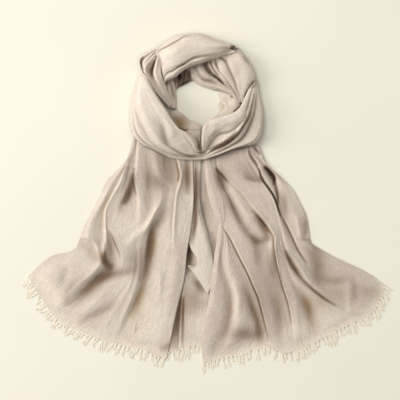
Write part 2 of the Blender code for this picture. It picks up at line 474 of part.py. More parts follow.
def add_fringe(collection, name, hem):
    """Plain solid of a fringe's reach, along the points of a stretch's hem."""
    outward = hem[:, :2] - NECK
    outward /= np.linalg.norm(outward, axis=1)[:, None]
    start, tip = hem.copy(), hem.copy()
    start[:, :2] += outward * FRINGE_GAP
    tip[:, :2] += outward * FRINGE_LENGTH
    tip[:, 2] = WALL
    top = np.stack([start, tip], axis=1)
    below = top.copy()
    below[..., 2] = np.maximum(top[..., 2] - WALL, 0.0)
    return add_piece(collection, shell_mesh(name, top, below), SHEER)


def add_core(collection, name):
    """The ring of hidden layers, a closed loft through rounded sections."""
    turn = np.array([row.angle for row in CORE] + [CORE[0].angle + 360])
    angles = np.linspace(0, 360, CORE_SECTIONS, endpoint=False)
    columns = {
        field: np.interp(angles, turn, [getattr(row, field) for row in CORE] + [getattr(CORE[0], field)])
        for field in ("inner", "outer", "bottom", "top")
    }
    rings = []
    for angle, inner, outer, bottom, top in zip(np.radians(angles), *columns.values()):
        reach = inner + (outer - inner) * np.array(CORE_ROUNDING)
        height = bottom + (top - bottom) * np.array(CORE_RISE)
        rings.append([
            (NECK[0] + r * np.cos(angle), NECK[1] + r * np.sin(angle), z) for r, z in zip(reach, height)
        ])
    corners = np.array(rings).reshape(-1, 3) * MM
    across = len(CORE_ROUNDING)
    faces = []
    for i in range(CORE_SECTIONS):
        for j in range(across):
            here, after = i * across, (i + 1) % CORE_SECTIONS * across
            k = (j + 1) % across
            faces.append((here + j, here + k, after + k, after + j))
    mesh = bpy.data.meshes.new(name)
    mesh.from_pydata(corners.tolist(), [], faces)
    tidy = bmesh.new()
    tidy.from_mesh(mesh)
    bmesh.ops.triangulate(tidy, faces=tidy.faces)
    bmesh.ops.recalc_face_normals(tidy, faces=tidy.faces)
    tidy.to_mesh(mesh)
    tidy.free()
    mesh.shade_smooth()
    return add_piece(collection, mesh, ROSE)


def main():
    clear_scene()
    scarf = bpy.data.collections.new(NAME)
    bpy.context.scene.collection.children.link(scarf)

    lower = add_stretch(scarf, Stretch("middle_lower", MIDDLE_LOWER, 12, 1, SHEER), [])
    add_stretch(scarf, Stretch("middle_upper", MIDDLE_UPPER, 10, 1, PALE), ["middle_lower"])
    under = ["middle_lower", "middle_upper"]
    left = add_stretch(scarf, Stretch("left_tail", LEFT_TAIL, 15, 1, PALE), under, pressed)
    right = add_stretch(scarf, Stretch("right_tail", RIGHT_TAIL, 15, 1, ROSE), under, pressed)
    add_fringe(scarf, "left_fringe", left[-1])
    add_fringe(scarf, "middle_fringe", lower[-1])
    add_fringe(scarf, "right_fringe", right[-1])

    add_core(scarf, "wrap_core")
    inner = ["wrap_core"]
    add_stretch(scarf, Stretch("right_wing", RIGHT_WING, 7, 2, SHEER), inner)
    add_stretch(scarf, Stretch("front_wing", FRONT_WING, 8, 2, SHEER), [])
    add_stretch(scarf, Stretch("back_gather", BACK_GATHER, 4, 1, ROSE), inner)
    inner += ["right_wing", "front_wing", "back_gather"]
    add_stretch(scarf, Stretch("right_gather", RIGHT_GATHER, 11, 1, PALE), inner, reach=6.0)
    add_stretch(scarf, Stretch("shoulder_folds", SHOULDER_FOLDS, 12, 1, PALE), inner)
    inner += ["right_gather", "shoulder_folds"]
    add_stretch(scarf, Stretch("nape_band", NAPE_BAND, 16, 2, PALE), inner, reach=7.0)
    inner += ["nape_band", "left_tail", "right_tail", *under]
    add_stretch(scarf, Stretch("front_wrap", FRONT_WRAP, 32, 1, PALE), inner, reach=4.0)


main()
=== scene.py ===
"""Beach scarf laid flat: visible cloth and fringes, a floor, lights and a camera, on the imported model."""

from collections import namedtuple

import bpy
import numpy as np
from bpy.props import FloatProperty, FloatVectorProperty, IntProperty, PointerProperty
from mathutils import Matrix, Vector


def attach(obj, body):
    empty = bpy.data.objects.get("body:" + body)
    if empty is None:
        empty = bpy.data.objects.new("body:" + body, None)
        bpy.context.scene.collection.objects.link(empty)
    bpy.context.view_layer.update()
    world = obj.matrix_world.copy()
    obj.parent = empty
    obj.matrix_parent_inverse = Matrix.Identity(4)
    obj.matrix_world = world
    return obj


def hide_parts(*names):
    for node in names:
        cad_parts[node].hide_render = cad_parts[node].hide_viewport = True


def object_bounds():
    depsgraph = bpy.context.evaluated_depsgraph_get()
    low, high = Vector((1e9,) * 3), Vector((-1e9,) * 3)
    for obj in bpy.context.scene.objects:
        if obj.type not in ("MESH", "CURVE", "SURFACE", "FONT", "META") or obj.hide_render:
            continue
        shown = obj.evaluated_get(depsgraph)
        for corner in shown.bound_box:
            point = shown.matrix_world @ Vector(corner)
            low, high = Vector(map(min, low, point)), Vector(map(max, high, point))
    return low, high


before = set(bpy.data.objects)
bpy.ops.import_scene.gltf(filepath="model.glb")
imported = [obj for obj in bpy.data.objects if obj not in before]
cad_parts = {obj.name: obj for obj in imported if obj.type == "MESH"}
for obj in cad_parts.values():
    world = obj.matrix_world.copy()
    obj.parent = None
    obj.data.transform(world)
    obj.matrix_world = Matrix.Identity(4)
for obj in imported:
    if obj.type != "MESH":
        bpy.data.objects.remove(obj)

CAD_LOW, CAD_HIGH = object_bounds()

bl_info = {
    "name": "Beach scarf",
    "version": (1, 0, 0),
    "blender": (4, 5, 0),
    "location": "View3D > Sidebar > Scarf",
    "description": "Lays out a gauze scarf, wound once round an open neck loop",
    "category": "Add Mesh",
}

MM = 0.001
BODY = "root"
TINY = 1e-9  # keeps a division from failing

# Layout, in millimetres
LAYOUT_MIDDLE = (13.0, -3.0)  # middle of the whole layout, in the frame of the fold tables
VIEW_OFFSET = (-13.0, 3.0)  # middle of the view, from the middle of the layout
NECK = (-13.0, 193.0)  # middle of the neck opening, in the object's own frame

# Where the wrap lies on the tails
PRESSED = 9.9  # greatest height of a tail there
PRESS_SLOPE = 0.8  # how fast a tail may rise again, away from the wrap
FOOT_STEPS = 200  # points along the wrap's outer foot

# Surface lofted through folds
CURVE_STEPS = 24  # points between two given points of a line
LEAST_GAP = 0.3  # two folds count as no nearer to each other than this
WIDE_PERCENT = 90  # share of the stations where two folds are no farther apart than their counted gap
CREASE_SLOPE = 0.9  # share of the straight slope that a crease keeps
EDGE_SLOPE = 0.5  # the same at a stretch's own edges

# Laying one stretch on others
CELL = 1.5  # side of a cell of the height map
MAP_MARGIN = 30.0  # how far the map reaches past the whole layout
BARE = -1.0  # height of a cell with nothing in it
SPREAD = 2  # cells that a height is carried sideways
CLEARANCE = 0.5  # between a stretch and what it lies on
EASE_PASSES = 4  # how softly the lifted cloth meets the rest
LEAST_LIFT = 0.2  # between the floor and the underside

# Fine wrinkles
WRINKLES = ((16.0, 60.0, 1.0), (7.0, 30.0, 0.35))  # width and length of each size, and its share in height
WRINKLE_RISE, WRINKLE_DROP = 2.0, 0.8  # how high the lines stand, and how far they are let down again
STRONG_WIDTH = 4  # a strong place is this many wrinkles wide
SWAY, SWAY_WIDTH, SWAY_LENGTH = 9.0, 40.0, 55.0  # how far the wrinkles swing sideways, and how slowly

# Marks
MARK_STEPS = 24  # points along the line of a mark
MARK_REACH = 2.5  # where a mark ends sideways, in its widths
TAPERS = (0.4, 1.3)  # how softly the ends of a narrow mark and of a broad one fade
TAPER_WIDTH = 10.0  # width of a mark whose ends fade evenly
DEEPEST_PAINTED_SHADE, THINNEST = 2.0, 1.0  # limits of the two masks: painted shade, and thinness that also carries painted highlights

# Painted shade in the folds
HOLLOW_PASSES = 40  # evening out that gives the form without its folds
HOLLOW_DEPTH = 3.0  # depth below that form which has the full painted shade
HOLLOW_SHARE = 0.45  # how much painted shade a hollow gets from its form alone
EDGE_FADE = 14.0  # the form gives no painted shade nearer than this to the side edges

# Tails
TAIL_FULLNESS = 0.72  # share of the tables' heights that the tails keep
HEM_THIN = 20.0  # width of the thinner cloth along a hem
HEM_FALL, HEM_REACH = 0.65, 26.0  # how far the cloth comes down towards a hem, and from where

# Ring of hidden layers
CORE_START, CORE_TURN = -80.0, 352.0  # first angle, and how far round the hidden layers run
CORE_LENGTH = 620.0  # round the middle of the ring
CORE_COLUMNS, CORE_LAYERS = 24, 5  # points across the ring, and layers that show as ridges
CORE_SIDE = 0.04  # share of the ring's width left out along each edge
CORE_FOOT = 2.0  # height of the ring's two edges, and how far its crown stays under the table's height
CORE_LEAST = 1.2  # least height of all
CORE_FULLNESS = 0.6  # the lower, the fuller the rounded section
LAYER_RIDGE, LAYER_TWIST = 1.4, 2  # height of the layers' edges, and how they wind
CORE_WEAVE = (3.0, 2.0)  # cloth between two points, across and along
CORE_PAINTED_SHADE = 0.5  # painted shade, the same all over the ring

# Fringe
FRINGE_SEEDS = {"middle": 13, "left": 22, "right": 32}
FIRST_TUFT = (1, 4)  # distance of the first tuft from the corner
TUFT_PITCHES = (0.7, 1.35)  # share of the mean distance between tufts
TUFT_LENGTHS = (0.7, 1.3)  # share of the mean length
TUFT_BEND, STRAND_BEND = 0.22, 0.07  # how far a tuft leans, and a strand in it
TUFT_PINCH, PINCH_PLACE = 0.22, 1.1  # how tightly the strands gather, and how early
STRAND_LENGTHS = (0.55, 1.0)  # share of the tuft's length
STRAND_POINTS, STRAND_SIDES = 7, 4  # along a strand, and round it
STRAND_REST = 0.4  # height at which a strand comes to rest
STRAND_RESTS = (0.6, 1.4)  # share of that height
STRAND_FLATNESS = 0.4  # height of a strand, as a share of its width
STRAND_TAPER = 0.65  # share of its thickness that a strand loses towards its tip
HEM_OVERLAP = 1.0  # how far a strand starts inside the hem

# Weave: stretches give how many features fall on a metre of the cloth, across and along
BEND_SCALE, THREAD_BEND = 90.0, 0.004  # how often the threads bend, and how far
SLUB_STRETCHES = ((450.0, 60.0, 1.0), (60.0, 450.0, 1.0))  # warp and weft
CRINKLE_STRETCH, CRINKLE_ROUGHNESS = (170.0, 60.0, 1.0), 0.6
WEAVE_SHARE, SLUB_SHARE, CRINKLE_SHARE = 0.10, 0.5, 3.0  # in the relief

# Tone: limits give what a texture runs between, and then what that becomes
PATCH_SCALE, PATCH_LIMITS = 14.0, (0.35, 0.65)
THIN_SHARE = 0.85  # of the Thin shade where the mask is full: thin cloth over the floor, and painted highlights on some ridges
SLUB_LIMITS = (0.7, 1.3, 0.90, 1.07)  # from finer threads to slubs
PLAIN_SCALE, PLAIN_LIMITS = 3.0, (0.3, 0.7, 0.97)  # of the faint unevenness of plain finishes

# Finishes
GAUZE = {"Roughness": 0.88, "Sheen Weight": 0.12, "Sheen Roughness": 0.5, "Specular IOR Level": 0.15}
YARN = {"Roughness": 0.9, "Specular IOR Level": 0.1}
PAPER = {"Roughness": 0.95, "Specular IOR Level": 0.1}
SHADE_STEP = 0.5  # from a stretch's first shade to its second, as a share of the way from pale to rose
MIX_FACTOR, MIX_A, MIX_B, MIX_RESULT = 0, 6, 7, 2  # sockets of a colour mix
VECTORS = "ShaderNodeVectorMath"

# Stage, in metres
FLOOR_HEIGHT = -0.0004  # just under the cloth
CAMERA_REACH = 100.0
KEY_PLACE, OVERHEAD_PLACE = (-4.3, 0.75, 2.4), (-1.7, 2.2, 3.7)
LIGHT_COLOUR, ROOM_COLOUR = (1.0, 0.985, 0.955), (1.0, 0.98, 0.955, 1.0)

Fold = namedtuple("Fold", "name crease points")
# A mark's deep is painted shade; its thin is thinner cloth and, along some ridges, a painted highlight
Mark = namedtuple("Mark", "height deep thin left right points")
Section = namedtuple("Section", "angle inner outer top")
Stretch = namedtuple(
    "Stretch", "node folds marks flat held rose seed lies_on wrinkle fine hemmed pressed area",
    defaults=((), 1.0, False, False, False, None),
)


def soft(name, *points):
    """A fold that is rounded over into its neighbours."""
    return Fold(name, 0.0, np.array(points, float))


def creased(name, *points):
    """A fold that meets its neighbours in a crease."""
    return Fold(name, 1.0, np.array(points, float))


def mark(height, deep, thin, left, right, *points):
    """A small ridge, or a trough if its height is negative, with how much painted shade it adds there, how
    much lighter it makes the cloth, for thinner cloth and for painted highlights, and its width to the left
    and to the right of its line."""
    return Mark(height, deep, thin, left, right, np.array(points, float))


def crease(deep, width, *points):
    """A mark with no height of its own, as wide on both sides, that only adds painted shade."""
    return mark(0, deep, 0, width, width, *points)


# Left tail, from its outer edge to the edge beside the middle layers; each fold runs from wrap to hem
LEFT_TAIL = (
    soft("outer edge", (-133, 128, 6), (-139, 106, 3), (-147, 82, 2), (-165, 60, 2), (-186, 38, 2),
        (-202, 4, 2), (-214, -20, 2), (-229, -48, 2), (-239, -72, 3), (-251, -98, 3), (-300, -113, 2),
        (-344, -151, 2)),
    soft("outer swell", (-131, 128, 7), (-137, 104, 7), (-146, 80, 8), (-160, 56, 8), (-176, 33, 9),
        (-190, 5, 10), (-206, -22, 11), (-218, -48, 12), (-222, -72, 12), (-227, -100, 6), (-262, -128, 10),
        (-298, -150, 9), (-329, -180, 3)),
    soft("outer gutter", (-130, 128, 6), (-134, 104, 7), (-142, 80, 7), (-153, 57, 5), (-166, 32, 4),
        (-181, 4, 3), (-193, -20, 3), (-196, -48, 3), (-197, -78, 5), (-206, -112, 9), (-230, -145, 12),
        (-266, -176, 9), (-311, -205, 3)),
    creased("outer lap", (-129, 127, 8), (-133, 104, 9), (-141, 82, 10), (-151, 60, 11), (-160, 34, 13),
        (-176, 6, 14), (-188, -20, 15), (-189, -46, 15), (-187, -72, 15), (-189, -98, 16), (-199, -126, 17),
        (-214, -146, 16), (-240, -166, 13), (-262, -190, 10), (-299, -225, 3)),
    soft("shadow trough", (-128, 126, 7), (-131, 104, 7), (-139, 82, 8), (-147, 60, 9), (-155, 34, 11),
        (-170, 5, 12), (-182, -20, 13), (-183, -46, 13), (-180, -70, 9), (-176, -100, 3), (-178, -130, 2),
        (-196, -152, 1.5), (-224, -178, 2), (-250, -204, 2), (-288, -238, 2)),
    creased("middle swell", (-127, 125, 7), (-130, 104, 6), (-137, 82, 6), (-143, 60, 3), (-148, 34, 5),
        (-158, 5, 9), (-168, -22, 11), (-177, -50, 13), (-172, -76, 14), (-161, -98, 14), (-153, -118, 13),
        (-160, -148, 9), (-182, -178, 8), (-216, -212, 8), (-258, -256, 3)),
    soft("front gutter", (-126, 124, 5), (-128, 104, 4), (-131, 82, 3), (-133, 60, 2), (-134, 38, 2),
        (-129, 14, 4), (-128, -12, 8), (-136, -42, 11), (-148, -74, 13), (-141, -102, 12), (-139, -130, 10),
        (-148, -164, 9), (-164, -194, 6), (-196, -238, 4), (-230, -268, 2)),
    creased("front lap", (-123, 124, 9), (-124, 104, 14), (-125, 82, 16), (-127, 62, 16), (-131, 40, 16),
        (-124, 16, 15), (-120, -8, 14), (-119, -34, 13), (-127, -60, 13), (-134, -84, 13), (-131, -110, 11),
        (-133, -140, 11), (-140, -172, 10), (-168, -216, 8), (-204, -278, 3)),
    soft("panel dip", (-106, 116, 7), (-106, 92, 9), (-105, 64, 10), (-104, 34, 10), (-102, 4, 9),
        (-101, -20, 9), (-109, -44, 11), (-118, -64, 13), (-125, -88, 12), (-126, -114, 11),
        (-129, -144, 10), (-136, -172, 9), (-150, -204, 8), (-188, -284, 3)),
    creased("diagonal lap", (-90, 110, 8), (-90, 86, 11), (-86, 66, 12), (-80, 40, 12), (-75, 16, 12),
        (-79, -6, 14), (-90, -26, 17), (-98, -42, 17), (-107, -58, 16), (-117, -80, 13), (-121, -100, 12),
        (-121, -134, 12), (-125, -160, 11), (-134, -188, 10), (-150, -228, 8), (-175, -286, 3)),
    soft("deep valley", (-72, 104, 6), (-64, 84, 3), (-60, 62, 2), (-57, 42, 4), (-58, 20, 7), (-64, -4, 6),
        (-72, -26, 4), (-82, -48, 3), (-94, -72, 2), (-103, -100, 1.5), (-106, -136, 1.5),
        (-113, -170, 1.5), (-126, -202, 1.5), (-143, -238, 1.5), (-166, -288, 1.5)),
    soft("valley rim", (-58, 100, 6), (-52, 82, 4), (-49, 62, 3), (-48, 42, 4), (-51, 20, 7), (-56, -6, 7),
        (-61, -30, 7), (-66, -52, 7), (-72, -76, 7), (-77, -100, 7), (-78, -128, 8), (-81, -152, 9),
        (-94, -190, 6), (-120, -246, 4), (-142, -294, 2)),
    creased("band lap", (-49, 96, 9), (-45, 80, 13), (-42, 60, 15), (-43, 36, 15), (-46, 8, 14),
        (-49, -24, 13), (-51, -56, 12), (-54, -84, 11), (-66, -140, 9), (-84, -210, 8), (-106, -302, 3)),
    soft("band", (-28, 93, 8), (-27, 72, 11), (-26, 50, 12), (-28, 24, 12), (-31, -6, 12), (-34, -36, 12),
        (-38, -68, 12), (-43, -104, 12), (-50, -150, 12), (-62, -206, 11), (-86, -314, 5)),
    soft("inner edge", (-14, 91, 9), (-14, 50, 10), (-13, -2, 10), (-17, -50, 10), (-26, -106, 10),
        (-31, -155, 9), (-46, -220, 8), (-66, -317, 6)),
)

# Right tail, from the edge beside the middle layers to its outer edge
RIGHT_TAIL = (
    soft("inner edge", (6, 91, 9), (9, 70, 9), (10, 50, 10), (13, 28, 10), (18, 2, 10), (26, -20, 10),
        (34, -38, 11), (39, -49, 11), (34, -66, 10), (33, -86, 10), (29, -108, 9), (26, -135, 9),
        (22, -165, 9), (18, -200, 8), (9, -236, 7), (3, -270, 7), (5, -326, 6)),
    soft("inner swell", (12, 91, 9), (15, 70, 10), (17, 50, 12), (22, 28, 12), (29, 2, 13), (37, -20, 13),
        (42, -40, 13), (43, -52, 13), (42, -66, 13), (40, -90, 12), (36, -120, 12), (33, -146, 12),
        (30, -170, 12), (26, -200, 11), (19, -236, 10), (14, -270, 9), (15, -324, 5)),
    soft("winding trough", (16, 91, 8), (20, 70, 10), (24, 50, 11), (30, 26, 12), (38, 0, 13),
        (43, -24, 12), (45, -44, 12), (46, -58, 12), (47, -80, 10), (43, -110, 8), (46, -140, 5),
        (55, -170, 3.5), (60, -200, 3), (58, -232, 3), (50, -262, 3), (34, -292, 3), (28, -322, 2)),
    soft("winding ridge", (19, 91, 8), (23, 70, 9), (27, 50, 11), (35, 24, 12), (43, -2, 13), (47, -28, 12),
        (48, -48, 12), (50, -64, 12), (56, -92, 11), (58, -120, 11), (64, -150, 12), (74, -180, 13),
        (80, -210, 13), (78, -245, 11), (66, -280, 8), (44, -317, 2)),
    soft("side trough", (22, 91, 8), (25, 71, 8), (30, 50, 10), (38, 22, 12), (46, -4, 13), (49, -32, 12),
        (48, -46, 12), (55, -66, 10), (66, -92, 7), (78, -120, 6), (90, -150, 5), (102, -180, 4),
        (110, -206, 3), (112, -236, 3), (104, -272, 3), (92, -306, 2)),
    creased("side lap foot", (24, 91, 8), (27, 71, 8), (32, 50, 9), (40, 20, 11), (47, -6, 12),
        (49, -36, 12), (45, -50, 12), (59, -74, 9), (71, -98, 7), (83, -122, 6.5), (96, -148, 6),
        (105, -170, 5), (116, -195, 4), (122, -218, 3.5), (129, -245, 3), (126, -292, 2)),
    creased("side lap", (26, 91, 8), (29, 71, 8), (34, 51, 8), (43, 20, 10), (51, -6, 11), (53, -34, 11),
        (48, -51, 13), (61.5, -73, 13), (73.5, -97, 13), (85.5, -121, 12), (98.5, -147, 12),
        (108, -169, 11), (118.5, -194, 10), (124.5, -217, 9), (133, -246, 8), (141, -296, 3)),
    soft("side panel", (27, 91, 8), (31, 71, 7), (36, 52, 6), (47, 22, 6), (58, 0, 8), (66, -26, 10),
        (74, -50, 12), (84, -78, 12), (98, -102, 11), (108, -128, 11), (118, -152, 11), (126, -178, 11),
        (134, -202, 10), (142, -232, 9), (148, -262, 7), (153, -302, 4)),
    soft("upper trough", (28, 91, 7), (33, 72, 6), (37, 54, 2), (45, 32, 2), (55, 10, 2.5), (66, -10, 3),
        (78, -30, 3.5), (92, -54, 4), (112, -74, 3), (132, -80, 3), (134, -104, 5), (138, -130, 6),
        (144, -160, 5), (150, -190, 5), (158, -222, 5), (168, -308, 2)),
    soft("upper ridge", (30, 92, 7), (35, 74, 6), (40, 58, 4), (52, 38, 5), (66, 18, 8), (80, -2, 10),
        (94, -22, 10), (108, -42, 9), (126, -62, 6), (140, -76, 3), (141, -104, 5), (146, -130, 5),
        (151, -160, 5), (158, -190, 5), (168, -222, 6), (180, -306, 3)),
    creased("upper lap foot", (31, 93, 8), (33, 78, 7), (36, 62, 5), (50, 44, 6), (68, 26, 9), (86, 8, 9),
        (104, -14, 8), (120, -33, 5), (137, -55, 3), (147, -72, 2.5), (148, -100, 3), (153, -128, 3),
        (158, -156, 4), (166, -178, 4), (174, -202, 5), (180, -228, 6), (190, -304, 2)),
    creased("upper lap", (33, 94, 9), (35, 80, 10), (38, 63, 12), (52, 45, 13), (70, 27, 12), (88, 9, 12),
        (106, -13, 13), (122.5, -32, 14), (139.5, -54, 14), (150, -71, 14), (150.5, -100, 13),
        (155.5, -127, 12), (160.5, -155, 11), (168.5, -177, 10), (176.5, -201, 10), (183, -228, 9),
        (196, -301, 3)),
    soft("upper panel", (66, 100, 9), (68, 84, 10), (72, 66, 10), (84, 46, 11), (98, 24, 11), (114, 4, 11),
        (130, -20, 12), (142, -42, 12), (154, -68, 13), (157, -96, 11), (162, -120, 10), (170, -146, 9),
        (180, -170, 8.5), (190, -196, 8), (196, -222, 8), (208, -298, 3)),
    soft("soft trough", (82, 102, 8), (85, 84, 9), (92, 64, 8), (100, 48, 6), (110, 34, 7), (122, 14, 9),
        (136, -10, 10), (148, -38, 11), (158, -68, 11), (161, -90, 9), (166, -110, 8), (178, -142, 5),
        (192, -172, 4), (208, -200, 3.5), (220, -230, 3), (240, -280, 2)),
    soft("long ridge", (87, 103, 8), (91, 84, 9), (100, 64, 8), (109, 50, 5), (117, 36, 5), (128, 16, 9),
        (142, -8, 11), (152, -38, 11), (160, -66, 11), (164, -88, 10), (170, -106, 9), (180, -140, 9),
        (194, -160, 12), (214, -178, 13), (240, -197, 12), (262, -210, 10), (306, -246, 3)),
    creased("red trough", (90, 104, 8), (94, 84, 9), (106, 64, 6), (114, 50, 4), (122, 38, 3.5),
        (133, 20, 9), (146, -4, 11), (155, -34, 11), (161, -60, 11), (166, -84, 8), (172, -102, 5),
        (184, -127, 2.5), (196, -148, 2), (214, -168, 2), (236, -188, 3), (262, -205, 5), (334, -236, 3)),
    soft("strip", (94, 105, 9), (98, 86, 9), (110, 68, 9), (118, 54, 9), (128, 36, 9), (138, 20, 10),
        (149, -2, 12), (158, -32, 13), (166, -60, 13), (171, -82, 12), (177, -99, 12), (190, -121, 12),
        (203, -144, 12), (219, -162, 10), (242, -182, 9), (270, -198, 8), (346, -224, 3)),
    creased("twist groove", (97, 106, 6), (101, 88, 4), (112, 73, 3), (120, 54, 2), (127, 37, 2),
        (137, 24, 2), (151, 0, 3), (160, -28, 3), (172, -50, 4), (182, -74, 4), (192, -96, 4),
        (206, -118, 5), (220, -142, 5), (240, -166, 6), (268, -184, 6), (306, -194, 7), (354, -213, 3)),
    soft("twisted strip", (101, 107, 9), (105, 90, 10), (118, 74, 11), (125, 56, 11), (134, 38, 11),
        (145, 22, 10), (153, 2, 8), (163, -24, 8), (176, -46, 10), (188, -68, 10), (198, -90, 8),
        (212, -110, 6), (228, -136, 4), (248, -156, 5), (276, -170, 6), (312, -182, 8), (358, -204, 3)),
    soft("side hollow", (106, 108, 5), (113, 92, 5), (128, 70, 3), (136, 56, 1.5), (146, 42, 1.5),
        (152, 24, 1.5), (156, 2, 3), (166, -22, 6), (180, -44, 9), (192, -62, 10), (204, -86, 8),
        (220, -104, 5), (236, -132, 4), (256, -148, 6), (284, -160, 8), (320, -172, 7), (362, -196, 3)),
    soft("outer swell", (111, 109, 7), (120, 92, 7), (134, 70, 7), (146, 56, 8), (156, 44, 9), (166, 26, 9),
        (174, 4, 10), (184, -18, 10), (194, -40, 11), (202, -62, 11), (210, -84, 9), (228, -98, 8),
        (250, -116, 8), (276, -132, 8), (306, -146, 8), (334, -160, 6), (367, -184, 3)),
    soft("outer edge", (117, 110, 5), (125, 92, 4), (133, 72, 3), (150, 56, 2), (166, 42, 2), (186, 20, 2),
        (198, -2, 2), (208, -22, 2), (215, -42, 2), (219, -66, 2), (223, -85, 2), (240, -97, 2),
        (262, -110, 2), (290, -124, 2), (318, -137, 2), (345, -152, 2), (370, -171, 2)),
)

# Two layers that show between the tails; each fold runs from wrap to hem
MIDDLE_UPPER = (
    soft("left edge", (-22, 90, 4), (-22, 40, 4), (-20, 0, 4), (-19, -40, 4), (-23, -78, 4), (-18, -98, 4),
        (-9, -112, 5), (-7, -122, 5), (-14, -129, 5), (-25, -131, 4)),
    creased("bright fold", (-10, 90, 7), (-9, 30, 8), (-7, -10, 9), (-2, -32, 9), (0, -58, 8), (-2, -82, 7),
        (-2, -102, 7), (-2, -122, 7), (-8, -138, 6), (-15, -143, 5)),
    soft("face", (-4, 90, 6), (-3, 30, 7), (0, -20, 7), (7, -56, 7), (10, -86, 8), (11, -112, 8),
        (9, -134, 7), (5, -150, 7), (0, -164, 5)),
    creased("right edge", (2, 90, 5), (1, 30, 5), (4, -22, 5), (15, -60, 5), (22, -92, 5), (26, -120, 5),
        (26, -150, 5), (22, -174, 5), (15, -188, 5)),
)
MIDDLE_LOWER = (
    soft("left edge", (-34, 90, 2), (-34, 0, 2), (-42, -110, 2), (-64, -220, 2), (-76, -305, 2)),
    soft("left pleat", (-24, 90, 2), (-24, 0, 2), (-34, -130, 2), (-47, -220, 5), (-52, -304, 4)),
    creased("left crease", (-18, 90, 2), (-18, 0, 2), (-30, -130, 2), (-43, -220, 2), (-46, -303, 2)),
    soft("second pleat", (-12, 90, 2), (-12, 0, 2), (-24, -130, 2), (-37, -220, 4), (-40, -302, 4)),
    creased("second crease", (-6, 90, 2), (-6, 0, 2), (-18, -130, 2), (-32, -220, 2), (-34, -300, 2)),
    soft("middle swell", (10, 90, 2), (12, 0, 2), (2, -130, 2), (-10, -220, 4), (-14, -292, 4)),
    soft("right edge", (30, 90, 2), (46, 0, 2), (42, -130, 2), (28, -220, 2), (18, -296, 2)),
)

